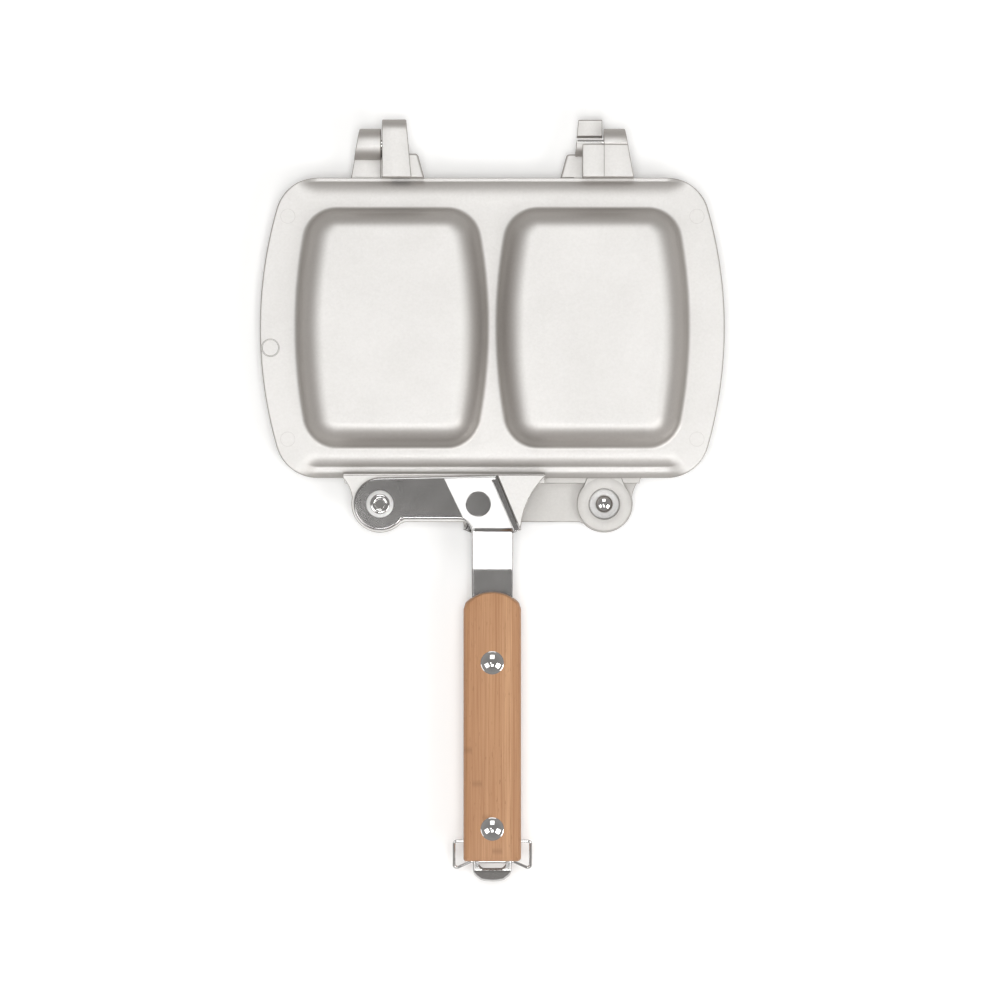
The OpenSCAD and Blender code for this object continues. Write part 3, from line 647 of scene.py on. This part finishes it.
# %% Bending a flat skin
def bend(skin, height_of, lines, folds):
    """A flat skin cut along lines of equal Y and along slanting folds (point, direction across), then
    lifted: z becomes z + height_of(x, y)."""
    vertices, faces = skin
    surface = bmesh.new()
    corners = [surface.verts.new(point) for point in vertices]
    for face in faces:
        surface.faces.new([corners[index] for index in face])
    bmesh.ops.remove_doubles(surface, verts=surface.verts, dist=1e-6)
    for place, across_fold in [*(((0, y), (0, 1)) for y in lines), *folds]:
        bmesh.ops.bisect_plane(surface, geom=surface.verts[:] + surface.edges[:] + surface.faces[:],
                               dist=1e-6, plane_co=(*place, 0), plane_no=(*across_fold, 0))
    surface.verts.index_update()
    points = np.array([corner.co for corner in surface.verts])
    faces = [[corner.index for corner in face.verts] for face in surface.faces]
    surface.free()
    points[:, 2] += height_of(points[:, 0], points[:, 1])
    return points, faces


def soft_corners(ys, zs, reach, steps=6):
    """Polyline of heights over Y whose corners are eased: near a corner at distance t, the height is
    the straight one plus slope change * (reach - t) ** 2 / (4 * reach)."""
    fine = [ys[0]]
    for y in ys[1:-1]:
        fine += list(np.linspace(y - reach, y + reach, 2 * steps + 1))
    fine = np.array(fine + [ys[-1]])
    slopes = np.diff(zs) / np.diff(ys)
    height = np.interp(fine, ys, zs)
    for y, change in zip(ys[1:-1], np.diff(slopes)):
        height += change * np.clip(reach - np.abs(fine - y), 0, None) ** 2 / (4 * reach)
    return fine, height


fold_y, fold_z = soft_corners(np.array([-200, -35.2, -15.2, 40]) * mm, [strip_z, strip_z, arm_z, arm_z],
                              1.2 * mm)
tail_start, tail_r, tail_bend, tail_slope = strip_end_y + 6.6 * mm, 3 * mm, 1.76 * mm, 0.724
tail_lines = tail_start - np.linspace(0, tail_bend, 8)
panel_at, panel_across = np.array([-25.4, 12.6]) * mm, np.array([0.9, 0.436])
panel_slope, panel_w = math.tan(math.radians(5)), 24 * mm


def strip_height(x, y):
    """The folded straights, less an arc down that goes on straight to the tail's end, plus the end
    panel: beyond its slanting fold it rises by slope * distance, and fades out at the shank."""
    past = np.clip(tail_start - y, 0, None)
    bent = np.minimum(past, tail_bend)
    dip = tail_r - np.sqrt(tail_r ** 2 - bent ** 2) + (past - bent) * tail_slope
    beyond = (x - panel_at[0]) * panel_across[0] + (y - panel_at[1]) * panel_across[1]
    t = np.clip((y + 16.2 * mm) / (2 * mm), 0, 1)
    rise = panel_slope * np.clip(beyond, 0, panel_w) * t * t * (3 - 2 * t)
    return np.interp(y, fold_y, fold_z) - dip + rise


tail_dip = strip_height(0, grip_rear_y) - strip_height(0, strip_end_y)
print("tail dips by", round(tail_dip / mm, 1), "mm")

# %% [markdown]
# The sheet's upper edges are pressed to a wide soft bevel, which shows as a bright line round the
# arm and a dark one along the shank. A smaller one runs round the holes. A plain round dimple, where
# the arm clicks into place, is a hole with a thinner disc in it. The arm ends in a flange bent up
# against the stop.

# %% Handle strip
sheet_edge = np.array([[0.1875, 0], [0, 0.25], [0, 0.85], [0.09, 1.18], [0.3, 1.46], [0.6, 1.66],
                       [0.975, 1.78], [1.2, 1.8], [1.275, 1.8]]) * mm
dimple_at, dimple_r = (-7.2 * mm, -1.8 * mm), 6.1 * mm
holes = [circle(*pivot, 3.4 * mm), circle(*dimple_at, dimple_r, 72)]
flat_strip = prism([strip_outline, window, *holes], sheet_edge, hole_share=0.35)
dimple = slab([circle(*dimple_at, dimple_r - 0.01 * mm, 72)], arm_z + 0.02 * mm, arm_z + 1.45 * mm,
              0.15 * mm)
panel_folds = [(panel_at + panel_across * distance * mm, panel_across)
               for distance in (-0.25, 0, 0.25, 23.5, 24)]
strip_skin = bend(flat_strip, strip_height, [*fold_y[1:-1], *tail_lines], panel_folds)
flange_top = end_top + [0, -1.2 * mm]
flange = outline_of([flange_top + away * 3.3 * mm, end_tip + away * 3.3 * mm, end_tip, flange_top])
handle_skin = join([strip_skin, dimple, slab([flange], arm_z + 0.5 * mm, stop_h, 0.7 * mm, 5)])
handle_strips = pair("handle_strip", handle_skin, "handle", "handle_arm")

# %% [markdown]
# ## The bamboo grip
#
# Each grip is a block of laminated bamboo with a round nose. Its long upper edges are rounded
# generously and its ends only a little, so how far each point of the outline moves inwards depends
# on how far that part of the outline faces sideways.

# %% Grip
grip_half, grip_z, grip_top = 14.8 * mm, strip_z + strip_t, strip_z + strip_t + 9.4 * mm
nose_l = 7 * mm
nose_r = (grip_half ** 2 + nose_l ** 2) / (2 * nose_l)
nose_a = math.degrees(math.asin(grip_half / nose_r))
grip_outline = outline_of(
    arc((0, grip_front_y - nose_r), nose_r, 90 - nose_a + 4, 90 + nose_a - 4, 36),
    arc((-grip_half + 2.5 * mm, grip_front_y - 9.2 * mm), 2.5 * mm, 150, 180, 6),
    arc((-grip_half + 1.3 * mm, grip_rear_y + 1.3 * mm), 1.3 * mm, 180, 270, 8),
    arc((grip_half - 2 * mm, grip_rear_y + 2 * mm), 2 * mm, 270, 360, 8),
    arc((grip_half - 2.5 * mm, grip_front_y - 9.2 * mm), 2.5 * mm, 0, 30, 6), spacing=2.5 * mm)


def grip_skin():
    """Rings of the grip. On the upper edge an inset counts by 0.25 + 0.75 * sideways ** 2, where
    sideways is the X part of the outline's normal."""
    a = np.radians(np.linspace(0, 90, 13))
    lower = np.stack([0.5 * mm * (1 - np.sin(a[::3])), grip_z + 0.5 * mm * (1 - np.cos(a[::3]))], 1)
    upper = np.stack([3.2 * mm * (1 - np.cos(a)), grip_top - 3.2 * mm * (1 - np.sin(a))], 1)
    profile = np.concatenate([lower, upper])
    normal = outward(grip_outline)
    facing = normal / np.linalg.norm(normal, axis=1, keepdims=True)
    weight = 0.25 + 0.75 * facing[:, :1] ** 2
    inset = profile[:, :1, None] * np.where(profile[:, 1:, None] > grip_z + 2 * mm, weight[None], 1)
    rings = at_height(grip_outline[None] - inset * normal[None], profile[:, 1:, None])
    return join([strip(rings), flat_fill([rings[-1]], grip_top), flat_fill([rings[0]], grip_z)])


grips = pair("handle_grip", grip_skin(), "handle", "grip", smooth_angle=50)

# %% [markdown]
# ## Rivets and washers
#
# The rivet heads are mirror-bright domes, so their shape matters: a dome is part of a ball, and the
# profile's points follow that arc. A tiny roll at the rim meets the wood.

# %% Grip rivets
def dome_profile(radius, height, base, steps=14):
    """(radius, height) pairs of a shallow dome: an arc whose ball has radius (r*r + h*h) / (2*h)."""
    ball = (radius ** 2 + height ** 2) / (2 * height)
    angle = np.linspace(math.asin(radius / ball), 0.02, steps)
    return np.stack([ball * np.sin(angle), base + height - ball + ball * np.cos(angle)], axis=1)


def rivet_head(x, y, radius, height, base):
    """Domed head whose rim is a small roll of 0.3 mm."""
    dome = dome_profile(radius - 0.25 * mm, height - 0.25 * mm, base + 0.25 * mm, 18)
    rim = np.array([[radius - 0.5 * mm, base - 0.3 * mm], [radius - 0.08 * mm, base + 0.02 * mm],
                    [radius, base + 0.14 * mm], [radius - 0.06 * mm, base + 0.24 * mm]])
    return revolve(np.concatenate([rim, dome]), (x, y), 96)


rivets = []
for where, y in (("front", grip_front_y - 36.3 * mm), ("rear", grip_rear_y + 16.7 * mm)):
    shank = revolve([(2.4 * mm, strip_z - 0.02 * mm), (2.4 * mm, grip_top + 0.2 * mm)], (0, y), 48)
    rivet = join([rivet_head(0, y, 6 * mm, 2.2 * mm, grip_top), shank])
    rivets += pair(f"{where}_rivet", rivet, "handle", f"{where}_grip_rivet", smooth_angle=60)

# %% [markdown]
# The pivot rivet is tubular: a dome inside the countersink, and on the arm a flange rolled over a
# washer, with a hole that shows. A dished spring washer lies under the dome's edge. Each profile is
# drawn in millimetres as (radius, height) and turned about the pivot.

# %% Pivot rivets
def shifted(profile, height):
    """A profile in metres, lifted."""
    return np.array(profile) * mm + [0, height]


washer_z, flange_z = arm_z + strip_t, arm_z + strip_t + 0.83 * mm
head_z = countersink_z - 0.9 * mm
head = [(0.02, -2.2), (1.5, -2.08), (3, -1.55), (4, -0.85), (4.5, -0.25), (4.6, -0.05), (4.5, 0),
        (3.2, 0)]
rolled = [(3.2, 0), (5, 0), (5.2, 0.14), (5.1, 0.37), (4.6, 0.59), (3.8, 0.67), (3, 0.57), (2.5, 0.27),
          (2.3, -0.23)]
hole = [(2.3, 0), (0.02, 0)]
flat_ring = [(3.25, 0), (6.8, 0), (7, 0.2), (7, 0.5), (6.85, 0.7), (6.5, 0.8), (3.6, 0.8), (3.25, 0.6)]
dished = [(3.25, 0.45), (5, 0.42), (7.2, 0.02), (7.6, 0.1), (7.6, 0.6), (7.3, 0.88), (5, 0.9),
          (3.25, 0.9)]
tube = np.concatenate([shifted(head, head_z), shifted(rolled, flange_z), shifted(hole, arm_z)])
rivets += pair("pivot_tube", revolve(tube, pivot, 96), "pan", "pivot_rivet", 60)
washer_skin = revolve(shifted(flat_ring, washer_z), pivot, 96, closed=True)
spring_skin = revolve(shifted(dished, head_z), pivot, 96, closed=True)
washers = [*pair("washer", washer_skin, "handle", "pivot_washer", 40),
           *pair("dished_washer", spring_skin, "pan", "spring_washer", 40)]

# %% [markdown]
# ## The wire bail
#
# A bail is one wire bent round six corners. The path is drawn flat with rounded corners, and a small
# circle is carried along it. It is drawn level and turned by the park angle about its pivot.

# %% Bail
def open_path(corners, radius, steps=8):
    """Points along a path whose inner corners are arcs of one radius."""
    inner = [corner_arc(*corners[i - 1:i + 2], radius, steps) for i in range(1, len(corners) - 1)]
    return np.concatenate([corners[:1], *inner, corners[-1:]])


def tube_along(path, radius, sides=20):
    """Rings of a round wire on a flat path: centre + radius * (cos * sideways + sin * up)."""
    ahead = np.gradient(path, axis=0)
    ahead /= np.linalg.norm(ahead, axis=1, keepdims=True)
    sideways = np.stack([ahead[:, 1], -ahead[:, 0]], axis=1)
    angle = np.arange(sides) * 2 * np.pi / sides
    flat = path[:, None] + radius * np.cos(angle)[:, None] * sideways[:, None]
    return stack(at_height(flat, radius * np.sin(angle)[:, None]))


bail_y, bail_z, park = grip_rear_y + 10.1 * mm, 9 * mm, math.radians(25)
bail_half = np.array([[9.8, 0], [19.8, 0], [19.8, -16.4], [11, -11.9]]) * mm
bail_corners = np.concatenate([bail_half * [-1, 1], bail_half[::-1]])
bail_points, bail_faces = tube_along(open_path(bail_corners, 1.6 * mm), 0.9 * mm)
level_y, level_z = bail_points[:, 1].copy(), bail_points[:, 2].copy()
bail_points[:, 1] = bail_y + level_y * math.cos(park) - level_z * math.sin(park)
bail_points[:, 2] = bail_z + parting_z + level_y * math.sin(park) + level_z * math.cos(park)
bail = make_object("wire_bail", bail_points, bail_faces, 60)
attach(bail, "bail")
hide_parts("latch_bail")
print("bail box:", [round(value / mm, 1) for value in (*bail_points.min(0), *bail_points.max(0))])

# %% [markdown]
# ## Finishes
#
# Seven finishes cover the press. The castings are blasted aluminium, a light satin metal with a fine
# even grain and a painted shade on their sloping faces; the lugs' faces towards the parting plane take
# a darker copy of it, a little darker, also a painted shade. Inside the pans is a black non-stick coat.
# The handles are rolled steel, the washers satin steel, the rivets, pins and bail are polished, and
# the grips are laminated bamboo. Effects that more than one finish uses are node groups.

# %% Node helpers
def put(tree, socket, value):
    """A number, a colour or another node's output into an input socket."""
    if isinstance(value, bpy.types.NodeSocket):
        tree.links.new(value, socket)
    else:
        socket.default_value = value


def add(tree, kind, **settings):
    """A node with its properties, and its inputs by name, set or linked in one call."""
    node = tree.nodes.new("ShaderNode" + kind)
    for key, value in settings.items():
        if hasattr(node, key):
            setattr(node, key, value)
        else:
            put(tree, node.inputs[key.replace("_", " ")], value)
    return node


def calc(tree, operation, first, second=0.0):
    """The result of a Math node whose operands are sockets or numbers."""
    node = add(tree, "Math", operation=operation)
    put(tree, node.inputs[0], first)
    put(tree, node.inputs[1], second)
    return node.outputs[0]


def node_group(name, inputs, results):
    """A shader group that takes a Vector and numbers {name: default}. results(tree, its inputs)
    builds the nodes and gives {output name: socket}."""
    group = bpy.data.node_groups.new(name, "ShaderNodeTree")
    group.interface.new_socket("Vector", in_out="INPUT", socket_type="NodeSocketVector")
    for label, value in inputs.items():
        socket = group.interface.new_socket(label, in_out="INPUT", socket_type="NodeSocketFloat")
        socket.default_value = value
    outputs = results(group, group.nodes.new("NodeGroupInput").outputs)
    for label in outputs:
        group.interface.new_socket(label, in_out="OUTPUT", socket_type="NodeSocketFloat")
    end = group.nodes.new("NodeGroupOutput")
    for label, socket in outputs.items():
        group.links.new(socket, end.inputs[label])
    print(name, "gives", list(outputs))
    return group


def new_material(name):
    """A material and its node tree."""
    material = bpy.data.materials.new(name)
    material.use_nodes = True
    return material, material.node_tree


def shade(tree, **settings):
    """The inputs of a tree's shader, by name, set or linked in one call."""
    for key, value in settings.items():
        put(tree, tree.nodes["Principled BSDF"].inputs[key.replace("_", " ")], value)


print("node helpers ready; materials so far:", len(bpy.data.materials))

# %% [markdown]
# Grain is noise at three scales: the finest is the blasted texture, the middle one gives specks, and
# the coarsest is the slow clouding that every metal surface has. The group gives a height for a Bump
# node, and cloud and speck values about zero that colour and roughness can add.

# %% Grain group
def grain_nodes(tree, given):
    """Height, clouding and specks."""
    place, scale = given["Vector"], given["Grain Scale"]
    fine = add(tree, "TexNoise", Vector=place, Scale=scale, Detail=3.0, Roughness=0.6)
    cloud = add(tree, "TexNoise", Vector=place, Scale=given["Cloud Scale"], Detail=4.0, Roughness=0.55)
    speck = add(tree, "TexNoise", Vector=place, Scale=calc(tree, "MULTIPLY", scale, 0.45), Detail=2.0,
                Roughness=0.7)
    return {"Height": fine.outputs["Fac"],
            "Cloud": calc(tree, "SUBTRACT", cloud.outputs["Fac"], 0.5),
            "Speck": calc(tree, "SUBTRACT", speck.outputs["Fac"], 0.5)}


grain_group = node_group("metal_grain", {"Grain Scale": 1500, "Cloud Scale": 30}, grain_nodes)

# %% [markdown]
# A metal finish puts the group on Object coordinates, so the grain stays put when a piece moves.
# Colour runs between two tones along the clouding, and roughness gets a little of it. Leaning faces
# can take a painted shade: a darker tint multiplies their colour.

# %% Metal finishes
def metal(name, dark, light, roughness, spread, grain_scale, bump, cloud_scale=30, metallic=1.0,
          walls=None):
    """A metal whose colour mixes dark and light by clouding and specks, with grain as a bump. Where
    the surface leans in its own frame, the given tint multiplies the colour as a painted shade:
    share = 1 - |normal z| ** 10."""
    material, tree = new_material(name)
    place = add(tree, "TexCoord")
    grain = add(tree, "Group", node_tree=grain_group, Vector=place.outputs["Object"],
                Grain_Scale=grain_scale, Cloud_Scale=cloud_scale).outputs
    mask = calc(tree, "ADD", calc(tree, "ADD", grain["Cloud"], grain["Speck"]), 0.5)
    colour = add(tree, "MixRGB", Fac=mask, Color1=(*dark, 1), Color2=(*light, 1)).outputs[0]
    # Painted shade: the colour is darkened where the face leans, by the Z of its normal.
    if walls:
        facing = add(tree, "SeparateXYZ", Vector=place.outputs["Normal"]).outputs[2]
        level = calc(tree, "POWER", calc(tree, "ABSOLUTE", facing), 10)
        colour = add(tree, "MixRGB", blend_type="MULTIPLY", Fac=calc(tree, "SUBTRACT", 1.0, level),
                     Color1=colour, Color2=(*walls, 1)).outputs[0]
    relief = add(tree, "Bump", Strength=bump, Distance=0.00004, Height=grain["Height"])
    rough = calc(tree, "ADD", calc(tree, "MULTIPLY", grain["Cloud"], spread), roughness)
    shade(tree, Metallic=metallic, Base_Color=colour, Roughness=rough, Normal=relief.outputs["Normal"])
    return material


# The castings' tint is a painted shade on their sloping faces.
casting_look = {"metallic": 0.5, "walls": (0.44, 0.42, 0.405)}
cast_metal = metal("blasted_aluminium", (0.83, 0.815, 0.79), (0.94, 0.925, 0.905), 0.46, 0.12, 1600,
                   0.5, **casting_look)
# A darker copy of the casting metal: painted shade for the lugs' faces towards the parting plane.
painted_shade_cast = metal("cast_inner_face", (0.66, 0.645, 0.62), (0.74, 0.725, 0.70), 0.5, 0.12, 1600, 0.5,
                   **casting_look)
rolled_steel = metal("rolled_steel", (0.49, 0.48, 0.475), (0.67, 0.66, 0.65), 0.165, 0.06, 2400, 0.2,
                     60)
satin_steel = metal("satin_steel", (0.70, 0.695, 0.685), (0.84, 0.835, 0.825), 0.42, 0.1, 2400, 0.4, 60,
                    metallic=0.6)
polished = metal("polished_steel", (0.78, 0.77, 0.76), (0.88, 0.87, 0.86), 0.07, 0.05, 900, 0.06, 40)

# %% [markdown]
# The non-stick coat is a black film baked onto the inside of the casting: nearly no colour, a soft
# sheen, and the same fine grain showing through.

# %% Non-stick coat
coat = metal("non_stick_coat", (0.012, 0.012, 0.013), (0.03, 0.03, 0.032), 0.42, 0.15, 1600, 0.35, 25,
             metallic=0.0)
print("metals made:", len(bpy.data.materials))

# %% [markdown]
# Bamboo is laminated from narrow strips, each cut from another stalk, so each has its own tone.
# Along the strips run fine fibres, and across one or two of them goes the darker mark of a node,
# where the stalk had a joint. The strips are steps of X: the floor of x / width seeds a random
# tone. Fibres are noise stretched along Y.

# %% Bamboo group
def stretched_noise(tree, place, scale_x, scale_y, detail, roughness):
    """Noise whose features are long along Y."""
    squeezed = add(tree, "Mapping", Vector=place, Scale=(scale_x, scale_y, scale_x))
    return add(tree, "TexNoise", Vector=squeezed.outputs[0], Scale=1.0, Detail=detail,
               Roughness=roughness).outputs["Fac"]


def bamboo_nodes(tree, given):
    """Tone of each strip, fibres, marks of joints, and flecks. A joint's mark is
    1 - distance / half width, where the distance to the next joint goes to and fro along Y."""
    place = given["Vector"]
    x, y = add(tree, "SeparateXYZ", Vector=place).outputs[:2]
    slow = add(tree, "TexNoise", Vector=place, Scale=9.0, Detail=1.0).outputs["Fac"]
    wander = calc(tree, "MULTIPLY", calc(tree, "SUBTRACT", slow, 0.5), 0.0012)
    steps = calc(tree, "DIVIDE", calc(tree, "ADD", x, wander), given["Strip Width"])
    number = calc(tree, "FLOOR", steps)
    tone = add(tree, "TexWhiteNoise", noise_dimensions="1D", W=calc(tree, "ADD", number, 17.3))
    along = calc(tree, "ADD", y, calc(tree, "MULTIPLY", number, 0.0173))
    to_joint = calc(tree, "DIVIDE", calc(tree, "PINGPONG", along, 0.09), 0.0022)
    return {"Tone": tone.outputs["Value"],
            "Fibre": stretched_noise(tree, place, 1300, 16, 4.0, 0.62),
            "Joint": calc(tree, "MAXIMUM", calc(tree, "SUBTRACT", 1.0, to_joint), 0.0),
            "Fleck": calc(tree, "GREATER_THAN", stretched_noise(tree, place, 1900, 210, 1.0, 0.5), 0.7)}


bamboo_group = node_group("bamboo_strips", {"Strip Width": 0.0052}, bamboo_nodes)

# %% [markdown]
# The finish lays darker fibres, flecks and joints over the strips' tones, each by its mask. A thin
# rough coat stands for the oil on the wood.

# %% Bamboo finish
bamboo, wood = new_material("laminated_bamboo")
strips = add(wood, "Group", node_tree=bamboo_group,
             Vector=add(wood, "TexCoord").outputs["Object"]).outputs
colour = add(wood, "MixRGB", Fac=strips["Tone"], Color1=(0.435, 0.228, 0.112, 1),
             Color2=(0.53, 0.30, 0.157, 1)).outputs[0]
sharp_fibre = add(wood, "MapRange", Value=strips["Fibre"], From_Min=0.36, From_Max=0.66)
for mask, tint, most in ((sharp_fibre.outputs["Result"], (0.33, 0.155, 0.07, 1), 0.8),
                         (strips["Fleck"], (0.25, 0.115, 0.05, 1), 0.4),
                         (strips["Joint"], (0.27, 0.13, 0.06, 1), 0.6)):
    colour = add(wood, "MixRGB", Fac=calc(wood, "MULTIPLY", mask, most), Color1=colour,
                 Color2=tint).outputs[0]
rough = calc(wood, "ADD", calc(wood, "MULTIPLY", strips["Fibre"], 0.2), 0.4)
relief = add(wood, "Bump", Strength=0.35, Distance=0.0001, Height=strips["Fibre"]).outputs["Normal"]
shade(wood, Base_Color=colour, Roughness=rough, Normal=relief, Coat_Weight=0.12, Coat_Roughness=0.3)
print(bamboo.name, "has", len(wood.nodes), "nodes")

# %% [markdown]
# Each piece takes its finish. The pans get a second slot for the coat: the faces that point
# downwards into the pockets, or stand round the recess, take it. The lugs' faces towards the parting
# plane take the darker casting, a painted shade.

# %% Dress the pieces
cad = frame["nodes"]
for material, pieces in ((cast_metal, [*lugs, *hinge_arms, top_casting, bottom_casting]),
                         (rolled_steel, [*handle_strips, cad["catch_hook"]]),
                         (satin_steel, washers),
                         (polished, [*hinge_pins, *rivets, bail, cad["catch_hook_rivet"]]),
                         (bamboo, grips)):
    for piece in pieces:
        piece.data.materials.clear()
        piece.data.materials.append(material)
    print(material.name, "on", len(pieces), "pieces")


def face_table(piece, up):
    """Normals and middles of a piece's faces, with heights counted up or down from the parting
    plane."""
    count = len(piece.data.polygons)
    normals, centres = np.empty(count * 3), np.empty(count * 3)
    piece.data.polygons.foreach_get("normal", normals)
    piece.data.polygons.foreach_get("center", centres)
    return normals.reshape(-1, 3) * up, (centres.reshape(-1, 3) - [0, 0, parting_z]) * up


def second_finish(piece, material, chosen):
    """Gives the material to the chosen faces."""
    piece.data.materials.append(material)
    piece.data.polygons.foreach_set("material_index", chosen.astype(np.int32))
    print(piece.name, int(chosen.sum()), "faces of", material.name)


hair = 0.01 * mm
for casting, up in ((top_casting, 1), (bottom_casting, -1)):
    normals, centres = face_table(casting, up)
    from_middle = np.abs(centres[:, 1] * up - mid_y)
    rim_at = half_w - side_r + np.sqrt(side_r ** 2 - from_middle ** 2) - 2.9 * mm
    within = (np.abs(centres[:, 0]) < rim_at) & (from_middle < pan_half_l - 12.8 * mm)
    inside = (centres[:, 2] < web_h - wall + hair) | (normals[:, 2] < -0.05)
    second_finish(casting, coat, within & inside & (centres[:, 2] > hair) & (normals[:, 2] < 0.05))
# Painted shade: the lugs' faces towards the parting plane take the darker copy of the casting.
for lug, up in zip(lugs, (1, -1)):
    second_finish(lug, painted_shade_cast, face_table(lug, up)[0][:, 2] < -0.5)

# %% [markdown]
# ## Light
#
# Three soft boxes stand round the press: one beyond the hinges, one to the left and one to the
# right. The rivet domes show them as three pale squares. Two smaller ones light the sloping shank and
# the arm's end panel, and one overhead lights all, unseen in the metal.

# %% Soft boxes
def toward(tilt, turn_angle):
    """Unit direction at a tilt from straight up, turned anticlockwise from +X, in degrees."""
    tilt, turn_angle = math.radians(tilt), math.radians(turn_angle)
    return math.sin(tilt) * math.cos(turn_angle), math.sin(tilt) * math.sin(turn_angle), math.cos(tilt)


def soft_box(name, direction, size, power, reach=1.7):
    """Square area light in a direction from the press, turned to face it."""
    lamp = bpy.data.lights.new(name, "AREA")
    lamp.shape, lamp.size, lamp.energy = "SQUARE", size, power
    stand = bpy.data.objects.new(name, lamp)
    stand.location = Vector(direction).normalized() * reach
    stand.rotation_euler = (-stand.location).to_track_quat("-Z", "Y").to_euler()
    stand.visible_camera = False
    bpy.context.scene.collection.objects.link(stand)
    return stand


for name, tilt, turn_angle, size, power in (
        ("box_beyond", 34, 90, 0.8, 3.6), ("box_left", 38, 212, 0.75, 3.6),
        ("box_right", 42, -32, 0.75, 8.5), ("box_front", 19, -90, 0.35, 2.5),
        ("box_small", 10.2, 206, 0.2, 0.36)):
    soft_box(name, toward(tilt, turn_angle), size, power)
soft_box("box_overhead", (0, 0, 1), 0.5, 12.3).visible_glossy = False
print("lights:", len(bpy.data.lights))

# %% [markdown]
# The world is a plain grey studio, so that flat polished steel, which sees only what is overhead,
# looks dark beside the satin castings. The floor glows a little, for the camera alone, so the
# background is white and the soft shadow stays.

# %% World and floor
world = bpy.data.worlds.new("studio")
bpy.context.scene.world = world
world.use_nodes = True
sky = world.node_tree
upward = add(sky, "SeparateXYZ", Vector=add(sky, "TexCoord").outputs["Generated"]).outputs[2]
ramp = add(sky, "ValToRGB", Fac=upward)
tones = ramp.color_ramp.elements
tones.new(0.5)
for tone, position, colour in zip(tones, (0.06, 0.14, 0.9),
                                  ((1, 1, 1, 1), (0.34, 0.33, 0.32, 1), (0.24, 0.235, 0.23, 1))):
    tone.position, tone.color = position, colour
put(sky, sky.nodes["Background"].inputs["Color"], ramp.outputs[0])
bpy.context.scene.view_settings.view_transform = "Standard"

floor_mesh = bpy.data.meshes.new("floor")
floor_mesh.from_pydata([(-6, -6, 0), (6, -6, 0), (6, 6, 0), (-6, 6, 0)], [], [(0, 1, 2, 3)])
floor = bpy.data.objects.new("floor", floor_mesh)
bpy.context.scene.collection.objects.link(floor)
paper, tree = new_material("white_paper")
glow = calc(tree, "MULTIPLY", add(tree, "LightPath").outputs["Is Camera Ray"], 0.12)
shade(tree, Base_Color=(0.92, 0.92, 0.915, 1), Roughness=0.9, Emission_Color=(1, 1, 1, 1),
      Emission_Strength=glow)
floor_mesh.materials.append(paper)
print("world tones:", len(tones), "and a floor of 12 m")
